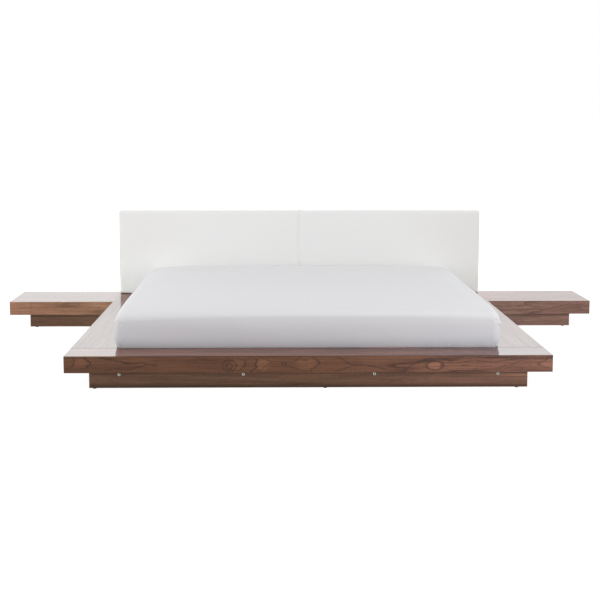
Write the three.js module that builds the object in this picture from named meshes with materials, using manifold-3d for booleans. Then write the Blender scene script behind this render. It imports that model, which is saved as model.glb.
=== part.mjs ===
// A low platform waterbed: a walnut surround on a set-back plinth, two table wings at the head end,
// a padded headboard and a soft-side water mattress with one heated core.
// Lengths are in millimetres. X runs across the bed, Y from the foot end to the head end and Z up.
// The origin is on the floor, in the middle of the bed's outer rectangle.
import * as THREE from "three";
import { mergeVertices } from "three/addons/utils/BufferGeometryUtils.js";
import Module from "manifold-3d";

const wasm = await Module();
wasm.setup();

// Driving dimensions of the mattress
const mattressWidth = 1800;
const mattressLength = 2000;
const mattressRise = 188; // the middle of its top above the surround
const recessDepth = 58; // from the surround's top down to the platform boards
const mattressCornerRadius = 30;
const innerCornerRadius = 12; // the least radius of the layers inside
const cornerTaper = 0.15; // how fast the corners sharpen as the rings go in
const sideBulge = 10; // how far its sides stand out past the recess
const sideProfile = [[0, -0.1], [0.15, 0.6], [0.45, 1], [0.75, 1], [1, 0.8]]; // shares of height, bulge
const shoulderInset = 30; // of the crown's border from the recess
const shoulderDrop = 40; // of the rounding from the crown to its sides
const shoulderSteps = 4;
const crownInsets = [60, 130, 260, 480]; // of the rings on its crown
const sideFall = 8; // how far its crown falls to the sides
const frontFall = 6;
const rearFall = 4;
const frontCornerFall = 10;
const frontLeftFall = 8;
const rearCornerFall = 6;
const leftSwell = 9; // how much further it swells halfway along a side
const rightSwell = 2;
const frontSwell = 8;
const swellStart = 50; // height above the surround at which a side has all its swelling
const swellEnd = 35; // depth below the top at which it still has all of it
const swellBorder = 0.9; // share of the half width and length at which the swelling starts
const coverInset = 12; // how far its lower edge is drawn in from the recess
const coverThickness = 5;
const coverBaseThickness = 2;
const zipHeight = 22; // of the zip above the platform boards
const foamTopWidth = 95;
const foamBottomWidth = 140;
const linerThickness = 1;
const linerTopGap = 10; // below the foam's top
const coreShoulder = 25; // the rounding of the core's upper edge
const coreShoulderProfile = [[0.4, 0.3], [1.6, 0.06]]; // shares of it inwards and down

// Driving dimensions of the surround
const borderWidth = 215;
const fasciaHeight = 78;
const panelThickness = 18;
const railThickness = 18;

// Driving dimensions of the pedestal
const footHeight = 4;
const footRadius = 8.5;
const footProfile = [[0.7, 0], [0.93, 0.22], [1, 0.55], [1, 1]]; // shares of its radius and height
const plinthShow = 72; // the plinth's height below the fascias
const plinthInset = 112; // from the surround's sides
const plinthThickness = 18;
const ribThickness = 18;
const platformThickness = 18;
const platformJoint = 1; // gap between the two platform boards
const outerRibInset = 137; // from the plinth's ends
const innerRibOffset = 300; // from the middle
const ribToe = 30; // length cut free of the floor at each end of a rib
const leftFootInset = 24; // from the plinth's left end
const middleFootOffset = 75;
const rightFootInset = 48; // from the plinth's right end
const boltDrop = 9; // of the bolts' axis below the fascia's lower edge
const boltHeadRadius = 7.5;
const boltHeadHeight = 5;
const boltShankRadius = 4;
const boltLength = 50;
const boltChamfer = 1;
const boltHeadProfile = [[1, 0], [1, 0.45], [0.9, 0.8], [0.66, 1]]; // shares of its radius and height
const boltSocketRadius = 3.6;
const boltSocketDepth = 3.5;

// Driving dimensions of the table wings
const tableWidth = 610;
const tableDepth = 475;
const tablePlinthInset = 117; // from the wing's outer end
const tablePlinthRearGap = 18; // behind the end plinth
const tableFootInset = 37; // from the wing's plinth end
const tableRearFootInset = 34; // from the plinth end's rear edge

// Driving dimensions of the headboard
const headboardHeight = 506;
const headboardThickness = 65;
const headboardReveal = 8; // gap above the surround
const headboardGap = 2; // behind the mattress
const headboardBoardThickness = 18;
const headboardCornerRadius = 12;
const headboardLeastRadius = 4;
const headboardEdge = 9; // how far the padded front edge rounds back
const headboardEdgeShare = 0.3; // of it, halfway round
const headboardCoverThickness = 1.5;
const postWidth = 60;
const postThickness = 38;
const postOffset = 600;
const postFloorGap = 30;
const postTopGap = 90; // below the headboard's top

// Driving dimensions of the heater, its control and the core's valve
const heaterX = 150;
const padWidth = 480;
const padLength = 290;
const padThickness = 1.5;
const padTailWidth = 40;
const padTailLength = 50;
const padRearInset = 220; // from the mattress's head end to the pad's rear edge
const leadRadius = 3;
const leadHoleRadius = 9;
const leadBend = 42;
const controlWidth = 130;
const controlHeight = 46;
const controlDepth = 70;
const controlFlange = 9;
const controlFlangeThickness = 3;
const controlFloorGap = 20;
const dialRadius = 16;
const dialDepth = 12;
const dialOffset = 34; // from the control's middle, as is the inlet on the other side
const dialShaftRadius = 3;
const dialShaftLength = 12;
const inletWidth = 24;
const inletHeight = 12;
const inletDepth = 14;
const dialGrip = 5; // how far the grip stands out, and its thickness
const dialGripLength = 27;
const valveFootInset = 440; // from the mattress's foot end
const valveNeckRadius = 20;
const valveNeckHeight = 10;
const valvePocketRadius = 44;
const valvePocketDepth = 17;
const capWall = 2.6;
const capLugs = 4;
const capLug = 5;

// Driving dimensions of the zip's slider
const sliderLength = 15;
const sliderHeight = 10;
const sliderThickness = 4;
const pullLength = 14;
const pullWidth = 6;
const pullThickness = 1.6;
const sliderSideGap = 120; // from the recess's side to the slider at rest

// Sides of the round pieces
const coarse = 16;
const medium = 24;
const fine = 32;
const bendSteps = 6; // of the lead's bend
const leadSteps = 24; // along the whole lead
const leadSides = 8;

// Clearances
const cutOver = 1; // how far a cut starts or ends beyond a face
const touch = 0.3; // between neighbours that rest on or fit round each other
const loose = 1; // between the layers of the mattress

// Levels
const ribTop = footHeight + plinthShow;
const fasciaBottom = ribTop;
const deckTop = fasciaBottom + fasciaHeight;
const panelUnderside = deckTop - panelThickness;
const platformTop = deckTop - recessDepth;
const platformBottom = platformTop - platformThickness;
const boltAxis = fasciaBottom - boltDrop;
const mattressTop = deckTop + mattressRise;
const shoulderLevel = mattressTop - shoulderDrop;
const zipLevel = platformTop + zipHeight;
const headboardBottom = deckTop + headboardReveal;

// Plan
const recessHalf = mattressWidth / 2;
const deckHalf = recessHalf + borderWidth;
const plinthHalf = deckHalf - plinthInset;
const overallLength = borderWidth + mattressLength + headboardGap + headboardThickness + postThickness;
const footEnd = -overallLength / 2;
const headEnd = overallLength / 2;
const recessFront = footEnd + borderWidth;
const mattressRear = recessFront + mattressLength;
const headboardFront = mattressRear + headboardGap;
const headboardRear = headboardFront + headboardThickness;
const plinthFrontFace = footEnd + panelThickness;
const plinthFrontBack = plinthFrontFace + plinthThickness;
const plinthRearFace = headboardRear;
const plinthRearFront = plinthRearFace - plinthThickness;
const mattressMiddle = (recessFront + mattressRear) / 2;
const outerRib = plinthHalf - outerRibInset;
const ribOffsets = [-outerRib, -innerRibOffset, innerRibOffset, outerRib];
const footOffsets = [leftFootInset - plinthHalf, middleFootOffset, plinthHalf - rightFootInset];

const sides = { left: -1, right: 1 };

// Finishes
function finish(color, roughness, metalness = 0) {
  return new THREE.MeshStandardMaterial({ color, roughness, metalness });
}
const walnut = finish(0x74503c, 0.42);
const plinthWalnut = finish(0x604838, 0.5);
const rawBoard = finish(0xb59a76, 0.8);
const softwood = finish(0xc8a877, 0.7);
const zincSteel = finish(0xb9bcbc, 0.32, 1);
const footPlastic = finish(0x2b2b2d, 0.6);
const leatherette = finish(0xe3e2e0, 0.45);
const paleFoam = finish(0xe6dfc4, 0.95);
const jersey = finish(0xe4e5e9, 0.9);
const linerVinyl = finish(0x7f97ad, 0.5);
const coreVinyl = finish(0x3f6fa5, 0.35);
const heaterFilm = finish(0x2f3134, 0.55);
const controlPlastic = finish(0xd9d9d6, 0.5);
const dialPlastic = finish(0x3a3c3f, 0.45);
const leadRubber = finish(0x1f2022, 0.6);

// Basic solids and booleans

function meshOf(name, geometry, material) {
  const mesh = new THREE.Mesh(geometry, material);
  mesh.name = name;
  return mesh;
}

function solidOf(geometry) {
  const bare = geometry.clone();
  bare.deleteAttribute("normal");
  bare.deleteAttribute("uv");
  const merged = mergeVertices(bare, 1e-4);
  return new wasm.Manifold(
    new wasm.Mesh({
      numProp: 3,
      vertProperties: merged.attributes.position.array,
      triVerts: new Uint32Array(merged.index.array),
    }),
  );
}

function geometryOf(solid) {
  const { vertProperties, triVerts } = solid.getMesh();
  const geometry = new THREE.BufferGeometry();
  geometry.setAttribute("position", new THREE.BufferAttribute(vertProperties, 3));
  geometry.setIndex(new THREE.BufferAttribute(triVerts, 1));
  geometry.computeVertexNormals();
  return geometry;
}

function cut(geometry, ...tools) {
  return geometryOf(tools.reduce((rest, tool) => rest.subtract(solidOf(tool)), solidOf(geometry)));
}

function join(geometry, ...others) {
  return geometryOf(others.reduce((whole, other) => whole.add(solidOf(other)), solidOf(geometry)));
}

// A block between the given limits, each a pair in either order.
function block(xs, ys, zs) {
  const limits = [xs, ys, zs];
  const size = limits.map(([a, b]) => Math.abs(b - a));
  const middle = limits.map(([a, b]) => (a + b) / 2);
  return new THREE.BoxGeometry(...size).translate(...middle);
}

// A closed solid from its corners and its faces, each face a convex loop of corner numbers.
function polyhedron(corners, faces) {
  const triangles = faces.flatMap((loop) =>
    loop.slice(1, -1).map((corner, i) => [loop[0], corner, loop[i + 2]]),
  );
  const points = corners.map((corner) => new THREE.Vector3(...corner));
  const volume = triangles.reduce(
    (sum, [a, b, c]) => sum + points[a].dot(points[b].clone().cross(points[c])),
    0,
  );
  const outward = volume > 0 ? triangles : triangles.map(([a, b, c]) => [a, c, b]);
  const geometry = new THREE.BufferGeometry();
  geometry.setAttribute("position", new THREE.Float32BufferAttribute(corners.flat(), 3));
  geometry.setIndex(outward.flat());
  geometry.computeVertexNormals();
  return geometry;
}

// A board between its show face and its back face, four corners each in the same order,
// so that any edge can be square or mitred.
function mitredBoard(face, back) {
  const sideLoops = [0, 1, 2, 3].map((i) => [(i + 1) % 4, i, i + 4, ((i + 1) % 4) + 4]);
  return polyhedron([...face, ...back], [[0, 1, 2, 3], [7, 6, 5, 4], ...sideLoops]);
}

// A closed skin through rings of equal length, each an array of points. The last ring joins the first
// where wraps is true, and otherwise the first and last rings are closed by flat fans.
function loft(rings, wraps = false) {
  const count = rings[0].length;
  const corners = rings.flat();
  const faces = [];
  const steps = wraps ? rings.length : rings.length - 1;
  for (let r = 0; r < steps; r++) {
    const low = r * count;
    const high = ((r + 1) % rings.length) * count;
    for (let i = 0; i < count; i++) {
      const next = (i + 1) % count;
      faces.push([low + i, low + next, high + next, high + i]);
    }
  }
  if (!wraps) {
    const last = (rings.length - 1) * count;
    faces.push(rings[0].map((_, i) => count - 1 - i));
    faces.push(rings[0].map((_, i) => last + i));
  }
  return polyhedron(corners, faces);
}

// A rounded rectangle about the origin at the given height.
const cornerSteps = 4;
const sideSteps = 5;
function roundedRing(halfX, halfY, radius, height) {
  const points = [];
  for (let quarter = 0; quarter < 4; quarter++) {
    const [signX, signY] = [[1, 1], [-1, 1], [-1, -1], [1, -1]][quarter];
    const centre = new THREE.Vector2(signX * (halfX - radius), signY * (halfY - radius));
    const following = new THREE.Vector2(-signY * (halfX - radius), signX * (halfY - radius));
    const start = (quarter * Math.PI) / 2;
    for (let step = 0; step <= cornerSteps; step++) {
      const angle = start + (step / cornerSteps) * (Math.PI / 2);
      const normal = new THREE.Vector2(Math.cos(angle), Math.sin(angle));
      points.push(centre.clone().addScaledVector(normal, radius));
    }
    const normal = new THREE.Vector2(Math.cos(start + Math.PI / 2), Math.sin(start + Math.PI / 2));
    for (let step = 1; step < sideSteps; step++) {
      points.push(centre.clone().lerp(following, step / sideSteps).addScaledVector(normal, radius));
    }
  }
  return points.map(({ x, y }) => [x, y, height]);
}

// Surround

function surround() {
  const group = new THREE.Group();
  const innerHalf = deckHalf - panelThickness;
  const innerFront = footEnd + panelThickness;
  const frontPanel = mitredBoard(
    [
      [-deckHalf, footEnd, deckTop],
      [deckHalf, footEnd, deckTop],
      [deckHalf, recessFront, deckTop],
      [-deckHalf, recessFront, deckTop],
    ],
    [
      [-innerHalf, innerFront, panelUnderside],
      [innerHalf, innerFront, panelUnderside],
      [innerHalf, recessFront, panelUnderside],
      [-innerHalf, recessFront, panelUnderside],
    ],
  );
  const frontFascia = mitredBoard(
    [
      [-deckHalf, footEnd, fasciaBottom],
      [deckHalf, footEnd, fasciaBottom],
      [deckHalf, footEnd, deckTop],
      [-deckHalf, footEnd, deckTop],
    ],
    [
      [-innerHalf, innerFront, fasciaBottom],
      [innerHalf, innerFront, fasciaBottom],
      [innerHalf, innerFront, panelUnderside],
      [-innerHalf, innerFront, panelUnderside],
    ],
  );
  group.add(meshOf("front_deck_panel", frontPanel, walnut));
  group.add(meshOf("front_fascia", frontFascia, walnut));
  for (const [name, side] of Object.entries(sides)) {
    const panel = mitredBoard(
      [
        [side * deckHalf, recessFront, deckTop],
        [side * deckHalf, headEnd, deckTop],
        [side * recessHalf, headEnd, deckTop],
        [side * recessHalf, recessFront, deckTop],
      ],
      [
        [side * innerHalf, recessFront, panelUnderside],
        [side * innerHalf, headEnd, panelUnderside],
        [side * recessHalf, headEnd, panelUnderside],
        [side * recessHalf, recessFront, panelUnderside],
      ],
    );
    const fascia = mitredBoard(
      [
        [side * deckHalf, footEnd, fasciaBottom],
        [side * deckHalf, headEnd, fasciaBottom],
        [side * deckHalf, headEnd, deckTop],
        [side * deckHalf, footEnd, deckTop],
      ],
      [
        [side * innerHalf, innerFront, fasciaBottom],
        [side * innerHalf, headEnd, fasciaBottom],
        [side * innerHalf, headEnd, panelUnderside],
        [side * innerHalf, innerFront, panelUnderside],
      ],
    );
    const rail = block(
      [side * recessHalf, side * (recessHalf + railThickness)],
      [recessFront, plinthRearFront],
      [platformTop, panelUnderside],
    );
    group.add(meshOf(`${name}_deck_panel`, panel, walnut));
    group.add(meshOf(`${name}_fascia`, fascia, walnut));
    group.add(meshOf(`${name}_inner_rail`, rail, plinthWalnut));
  }
  const railHalf = recessHalf + railThickness;
  const frontRail = block(
    [-railHalf, railHalf],
    [recessFront - railThickness, recessFront],
    [platformTop, panelUnderside],
  );
  const rearRail = block(
    [-recessHalf, recessHalf],
    [headboardFront, headboardFront + railThickness],
    [platformTop, deckTop],
  );
  group.add(meshOf("front_inner_rail", frontRail, plinthWalnut));
  group.add(meshOf("rear_rail", rearRail, plinthWalnut));
  return group;
}

// Pedestal

// A cylinder along Y between two places.
function barAlongY(radius, x, z, fromY, toY, segments = coarse) {
  return new THREE.CylinderGeometry(radius, radius, toY - fromY, segments).translate(
    x,
    (fromY + toY) / 2,
    z,
  );
}

function boltHole(x, fromY, toY) {
  return barAlongY(boltShankRadius + touch, x, boltAxis, fromY, toY);
}

// A button-head bolt along +Y from its head's underside, with a hexagonal socket.
function boltGeometry() {
  const head = boltHeadProfile.map(([out, up]) => [boltHeadRadius * out, -boltHeadHeight * up]);
  const profile = [
    [0, boltLength],
    [boltShankRadius - boltChamfer, boltLength],
    [boltShankRadius, boltLength - boltChamfer],
    [boltShankRadius, 0],
    ...head,
    [0, -boltHeadHeight],
  ].map(([x, y]) => new THREE.Vector2(x, y));
  const body = new THREE.LatheGeometry(profile.reverse(), coarse);
  const socket = new THREE.CylinderGeometry(boltSocketRadius, boltSocketRadius, 2 * boltSocketDepth, 6);
  return cut(body, socket.translate(0, -boltHeadHeight, 0));
}

// A glide with a flat sole and a rounded edge, from the floor up.
function footGeometry() {
  const side = footProfile.map(([out, up]) => [footRadius * out, footHeight * up]);
  const profile = [[0, 0], ...side, [0, footHeight]].map(([x, y]) => new THREE.Vector2(x, y));
  return new THREE.LatheGeometry(profile, coarse).rotateX(Math.PI / 2);
}

function plinth() {
  const group = new THREE.Group();
  const innerHalf = plinthHalf - plinthThickness;
  const ends = [
    ["plinth_front", plinthFrontFace, plinthFrontBack],
    ["plinth_rear", plinthRearFace, plinthRearFront],
  ];
  for (const [name, outerY, innerY] of ends) {
    const corners = (half, y) => [
      [-half, y, footHeight],
      [half, y, footHeight],
      [half, y, panelUnderside],
      [-half, y, panelUnderside],
    ];
    const board = mitredBoard(corners(plinthHalf, outerY), corners(innerHalf, innerY));
    const openings =
      name === "plinth_front"
        ? ribOffsets.map((x) => boltHole(x, plinthFrontFace - cutOver, plinthFrontBack + cutOver))
        : [controlOpening()];
    group.add(meshOf(name, cut(board, ...openings), plinthWalnut));
  }
  for (const [name, side] of Object.entries(sides)) {
    const corners = (half, front, rear) => [
      [side * half, front, footHeight],
      [side * half, rear, footHeight],
      [side * half, rear, panelUnderside],
      [side * half, front, panelUnderside],
    ];
    const board = mitredBoard(
      corners(plinthHalf, plinthFrontFace, plinthRearFace),
      corners(innerHalf, plinthFrontBack, plinthRearFront),
    );
    group.add(meshOf(`plinth_${name}`, board, plinthWalnut));
  }
  return group;
}

function bearers() {
  const group = new THREE.Group();
  const boltTip = plinthFrontFace + boltLength;
  ribOffsets.forEach((x, i) => {
    const board = block(
      [x - ribThickness / 2, x + ribThickness / 2],
      [plinthFrontBack, plinthRearFront],
      [0, platformBottom],
    );
    const hole = boltHole(x, plinthFrontBack - cutOver, boltTip + touch);
    const toes = [
      [plinthFrontBack - cutOver, plinthFrontBack + ribToe],
      [plinthRearFront - ribToe, plinthRearFront + cutOver],
    ].map((along) =>
      block([x - ribThickness, x + ribThickness], along, [-cutOver, footHeight]),
    );
    group.add(meshOf(`rib_${i + 1}`, cut(board, hole, ...toes), rawBoard));
    const bolt = meshOf(`plinth_bolt_${i + 1}`, boltGeometry(), zincSteel);
    bolt.position.set(x, plinthFrontFace, boltAxis);
    group.add(bolt);
  });
  const platformHalf = plinthHalf - plinthThickness;
  for (const [name, side] of Object.entries(sides)) {
    const board = block(
      [(side * platformJoint) / 2, side * platformHalf],
      [plinthFrontBack, plinthRearFront],
      [platformBottom, platformTop],
    );
    const holds = Math.sign(heaterX) === side;
    const geometry = holds ? cut(board, leadHole(platformBottom, platformTop)) : board;
    group.add(meshOf(`platform_board_${name}`, geometry, rawBoard));
  }
  return group;
}

function bedFeet() {
  const group = new THREE.Group();
  const rows = [plinthFrontFace + plinthThickness / 2, plinthRearFace - plinthThickness / 2];
  rows.forEach((y, row) => {
    footOffsets.forEach((x, i) => {
      const foot = meshOf(`bed_foot_${row * footOffsets.length + i + 1}`, footGeometry(), footPlastic);
      foot.position.set(x, y, 0);
      group.add(foot);
    });
  });
  return group;
}

// Table wings

function tableWing(name, side) {
  const group = new THREE.Group();
  const outer = deckHalf + tableWidth;
  const outerInner = outer - panelThickness;
  const front = headEnd - tableDepth;
  const frontInner = front + panelThickness;
  const top = mitredBoard(
    [
      [side * deckHalf, front, deckTop],
      [side * outer, front, deckTop],
      [side * outer, headEnd, deckTop],
      [side * deckHalf, headEnd, deckTop],
    ],
    [
      [side * deckHalf, frontInner, panelUnderside],
      [side * outerInner, frontInner, panelUnderside],
      [side * outerInner, headEnd, panelUnderside],
      [side * deckHalf, headEnd, panelUnderside],
    ],
  );
  const frontFascia = mitredBoard(
    [
      [side * deckHalf, front, fasciaBottom],
      [side * outer, front, fasciaBottom],
      [side * outer, front, deckTop],
      [side * deckHalf, front, deckTop],
    ],
    [
      [side * deckHalf, frontInner, fasciaBottom],
      [side * outerInner, frontInner, fasciaBottom],
      [side * outerInner, frontInner, panelUnderside],
      [side * deckHalf, frontInner, panelUnderside],
    ],
  );
  const endFascia = mitredBoard(
    [
      [side * outer, front, fasciaBottom],
      [side * outer, headEnd, fasciaBottom],
      [side * outer, headEnd, deckTop],
      [side * outer, front, deckTop],
    ],
    [
      [side * outerInner, frontInner, fasciaBottom],
      [side * outerInner, headEnd, fasciaBottom],
      [side * outerInner, headEnd, panelUnderside],
      [side * outerInner, frontInner, panelUnderside],
    ],
  );
  group.add(meshOf(`${name}_table_top`, top, walnut));
  group.add(meshOf(`${name}_table_front_fascia`, frontFascia, walnut));
  group.add(meshOf(`${name}_table_end_fascia`, endFascia, walnut));

  // The front plinth runs on under the surround to the bed's plinth, and steps down to pass its fascia.
  const plinthOuter = outer - tablePlinthInset;
  const plinthFront = frontInner;
  const plinthBack = plinthFront + plinthThickness;
  const outline = new THREE.Shape(
    [
      [side * plinthHalf, footHeight],
      [side * plinthOuter, footHeight],
      [side * plinthOuter, panelUnderside],
      [side * deckHalf, panelUnderside],
      [side * deckHalf, fasciaBottom],
      [side * plinthHalf, fasciaBottom],
    ].map(([x, z]) => new THREE.Vector2(x, z)),
  );
  const frontBoard = new THREE.ExtrudeGeometry(outline, { depth: plinthThickness, bevelEnabled: false });
  const frontPlinth = meshOf(`${name}_table_plinth_front`, frontBoard, plinthWalnut);
  frontPlinth.rotation.x = Math.PI / 2;
  frontPlinth.position.y = plinthBack;
  group.add(frontPlinth);

  const plinthRear = headEnd - tablePlinthRearGap;
  const endBoard = block(
    [side * (plinthOuter - plinthThickness), side * plinthOuter],
    [plinthBack, plinthRear],
    [footHeight, panelUnderside],
  );
  group.add(meshOf(`${name}_table_plinth_end`, endBoard, plinthWalnut));

  const frontFoot = meshOf(`${name}_table_foot_front`, footGeometry(), footPlastic);
  frontFoot.position.set(side * (plinthOuter - tableFootInset), (plinthFront + plinthBack) / 2, 0);
  const rearFoot = meshOf(`${name}_table_foot_rear`, footGeometry(), footPlastic);
  rearFoot.position.set(
    side * (plinthOuter - plinthThickness / 2),
    plinthRear - tableRearFootInset,
    0,
  );
  group.add(frontFoot, rearFoot);
  return group;
}

// Headboard

// Built lying on its back and turned upright: X across, Y up the headboard and Z out of its face.
function headboardPanel() {
  const group = new THREE.Group();
  const halfX = deckHalf;
  const halfY = headboardHeight / 2;
  const ring = (inset, height) => {
    const radius = Math.max(headboardCornerRadius - inset, headboardLeastRadius);
    return roundedRing(halfX - inset, halfY - inset, radius, height);
  };
  const wall = headboardCoverThickness;
  const face = headboardThickness;
  const edge = headboardEdge;
  const turn = edge * headboardEdgeShare;
  const outerSide = [[0, 0], [0, face - edge], [turn, face - turn], [edge, face]];
  const innerSide = outerSide.map(([inset, height]) => [inset + wall, height ? height - wall : 0]);
  const cover = loft(outerSide.map(([inset, height]) => ring(inset, height)));
  const hollow = loft([
    ring(wall, -cutOver),
    ...innerSide.slice(1).map(([inset, height]) => ring(inset, height)),
  ]);
  group.add(meshOf("headboard_cover", cut(cover, hollow), leatherette));

  const board = loft([ring(wall + touch, 0), ring(wall + touch, headboardBoardThickness)]);
  group.add(meshOf("headboard_board", board, rawBoard));

  const foamSide = innerSide.slice(1).map(([inset, height]) => [inset + touch, height - touch]);
  const foam = loft([
    ring(wall + touch, headboardBoardThickness + touch),
    ...foamSide.map(([inset, height]) => ring(inset, height)),
  ]);
  group.add(meshOf("headboard_foam", foam, paleFoam));

  group.rotation.x = Math.PI / 2;
  group.position.set(0, headboardRear, headboardBottom + halfY);
  return group;
}

function headboardPosts() {
  const group = new THREE.Group();
  for (const [name, side] of Object.entries(sides)) {
    const post = block(
      [side * (postOffset - postWidth / 2), side * (postOffset + postWidth / 2)],
      [headboardRear, headEnd],
      [postFloorGap, headboardBottom + headboardHeight - postTopGap],
    );
    group.add(meshOf(`headboard_post_${name}`, post, softwood));
  }
  return group;
}

// Mattress

// The cover's section from the zip up to the crown, as inset and height pairs, moved inwards by offset.
function coverSection(offset) {
  const foot = [
    [coverInset, zipLevel],
    [coverInset, zipLevel + sliderHeight],
    [coverInset / 2, deckTop - coverInset / 2],
  ];
  const side = sideProfile.map(([up, out]) => [
    -sideBulge * out,
    deckTop + (shoulderLevel - deckTop) * up,
  ]);
  const wall = [...foot, ...side].map(([inset, height]) => [inset + offset, height]);
  const reach = shoulderInset + sideBulge * sideProfile.at(-1)[1] - offset;
  const shoulder = Array.from({ length: shoulderSteps }, (_, i) => {
    const angle = (1 - (i + 1) / shoulderSteps) * (Math.PI / 2);
    return [
      shoulderInset - reach * Math.sin(angle),
      shoulderLevel + (shoulderDrop - offset) * Math.cos(angle),
    ];
  });
  return [...wall, ...shoulder, ...crownInsets.map((inset) => [inset, mattressTop - offset])];
}

// How far the mattress's top falls at a point, from its shares of the half width and the half length.
// Both shares run from -1 to 1, to the right and to the foot end.
function fallAt(across, along) {
  const u = Math.abs(across);
  const left = Math.max(-across, 0);
  const front = Math.max(along, 0);
  const rear = Math.max(-along, 0);
  const frontCorner = (frontCornerFall * u ** 3 + frontLeftFall * left ** 2) * front ** 6;
  const edges = sideFall * u ** 3 + frontFall * front ** 8 + rearFall * rear ** 4;
  return edges + frontCorner + rearCornerFall * (u * rear) ** 3;
}

// Where a point of the mattress's layers comes to lie, with their crown and their swollen sides.
function settled([x, y, z]) {
  const { clamp, smoothstep } = THREE.MathUtils;
  const across = clamp(x / recessHalf, -1, 1);
  const along = clamp((mattressMiddle - y) / (mattressLength / 2), -1, 1);
  const height = z - smoothstep(z, deckTop, shoulderLevel) * fallAt(across, along);
  const level = smoothstep(height, deckTop, deckTop + swellStart);
  const wall = level * smoothstep(mattressTop - height, 0, swellEnd);
  const side = smoothstep(Math.abs(across), swellBorder, 1) * (1 - along ** 4);
  const front = smoothstep(along, swellBorder, 1) * (1 - across ** 2);
  const sideSwell = across < 0 ? -leftSwell : rightSwell;
  return [x + sideSwell * side * wall, y - frontSwell * front * wall, height];
}

// A ring of the mattress. Its head end stays flat behind the recess's line, against the headboard.
function mattressRing(inset, height) {
  const headInset = Math.max(inset, 0);
  const halfLength = mattressLength / 2 - (inset + headInset) / 2;
  const middle = mattressMiddle + (inset - headInset) / 2;
  const radius = Math.max(mattressCornerRadius - inset * cornerTaper, innerCornerRadius);
  const ring = roundedRing(recessHalf - inset, halfLength, radius, height);
  return ring.map(([x, y, z]) => settled([x, y + middle, z]));
}

const coverBottom = platformTop + touch;
const coverBaseTop = coverBottom + coverBaseThickness;
const padBottom = coverBaseTop + touch;
const linerBottom = padBottom + padThickness + touch;
const coreBottom = linerBottom + linerThickness + touch;
const foamSide = coverSection(coverThickness + loose).slice(0, -crownInsets.length);
const [foamTopEdge, foamTop] = foamSide.at(-1);
const foamOuterEdge = coverInset + coverThickness + loose;

// The inset of the foam frame's inner wall, which leans outwards from its foot.
function foamWall(height) {
  const share = (height - padBottom) / (foamTop - padBottom);
  const foot = foamOuterEdge + foamBottomWidth;
  return foot + (foamTopEdge + foamTopWidth - foot) * share;
}

function mattressCover() {
  const group = new THREE.Group();
  const rings = (section) => section.map(([inset, height]) => mattressRing(inset, height));
  const outer = loft(rings(coverSection(0)));
  const inside = coverSection(coverThickness);
  const mouth = mattressRing(inside[0][0], zipLevel - coverThickness);
  const top = cut(outer, loft([mouth, ...rings(inside)]));
  group.add(meshOf("mattress_cover_top", top, jersey));

  const rim = zipLevel - touch;
  const tray = loft([mattressRing(coverInset, coverBottom), mattressRing(coverInset, rim)]);
  const innerEdge = coverInset + coverThickness;
  const hollow = loft([mattressRing(innerEdge, coverBaseTop), mattressRing(innerEdge, rim + coverThickness)]);
  const base = cut(tray, hollow, leadHole(coverBottom, coverBaseTop));
  group.add(meshOf("mattress_cover_base", base, jersey));
  return group;
}

function foamAndLiner() {
  const group = new THREE.Group();
  const flat = crownInsets.filter((inset) => inset < foamWall(foamTop));
  const section = [
    [foamOuterEdge, padBottom],
    ...foamSide,
    ...[...flat, foamWall(foamTop)].map((inset) => [inset, foamTop]),
    [foamWall(padBottom), padBottom],
  ];
  const frame = loft(section.map(([inset, height]) => mattressRing(inset, height)), true);
  group.add(meshOf("foam_frame", frame, paleFoam));

  const linerTop = foamTop - linerTopGap;
  const outside = [linerBottom, linerTop].map((z) => mattressRing(foamWall(z) + loose, z));
  const inside = [linerBottom + linerThickness, linerTop + linerThickness].map((z) =>
    mattressRing(foamWall(z) + loose + linerThickness, z),
  );
  group.add(meshOf("safety_liner", cut(loft(outside), loft(inside)), linerVinyl));
  return group;
}

function waterCore() {
  const group = new THREE.Group();
  const wall = (height) => foamWall(height) + 2 * loose + linerThickness;
  const crownTop = mattressTop - coverThickness - 2 * loose;
  const shoulder = foamTop - coreShoulder;
  const edge = wall(foamTop);
  const rounding = coreShoulderProfile.map(([inwards, down]) => [
    edge + coreShoulder * inwards,
    foamTop - coreShoulder * down,
  ]);
  const crown = crownInsets.filter((inset) => inset > rounding.at(-1)[0]);
  const section = [
    [wall(coreBottom), coreBottom],
    [wall(shoulder), shoulder],
    ...rounding,
    ...crown.map((inset) => [inset, crownTop]),
  ];
  const skin = loft(section.map(([inset, height]) => mattressRing(inset, height)));
  const pocketFloor = crownTop - valvePocketDepth;
  const valveY = recessFront + valveFootInset;
  const upright = (radius, from, to, segments) =>
    new THREE.CylinderGeometry(radius, radius, to - from, segments)
      .rotateX(Math.PI / 2)
      .translate(0, valveY, (from + to) / 2);
  const pocket = upright(valvePocketRadius, pocketFloor, crownTop + cutOver, fine);
  const neck = upright(valveNeckRadius, pocketFloor - cutOver, pocketFloor + valveNeckHeight, medium);
  group.add(meshOf("water_core", join(cut(skin, pocket), neck), coreVinyl));

  const boreRadius = valveNeckRadius + loose;
  const capRadius = boreRadius + capWall;
  const capHeight = valveNeckHeight + capWall;
  const shell = cut(
    upright(capRadius, 0, capHeight, medium),
    upright(boreRadius, -cutOver, valveNeckHeight, medium),
  );
  const lugs = Array.from({ length: capLugs }, (_, i) =>
    block([boreRadius + capWall / 2, capRadius + capLug], [-capLug / 2, capLug / 2], [0, capHeight])
      .rotateZ((i / capLugs) * 2 * Math.PI)
      .translate(0, valveY, 0),
  );
  const cap = meshOf("valve_cap", join(shell, ...lugs), dialPlastic);
  cap.position.z = pocketFloor + touch;
  group.add(cap);
  return group;
}

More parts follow.
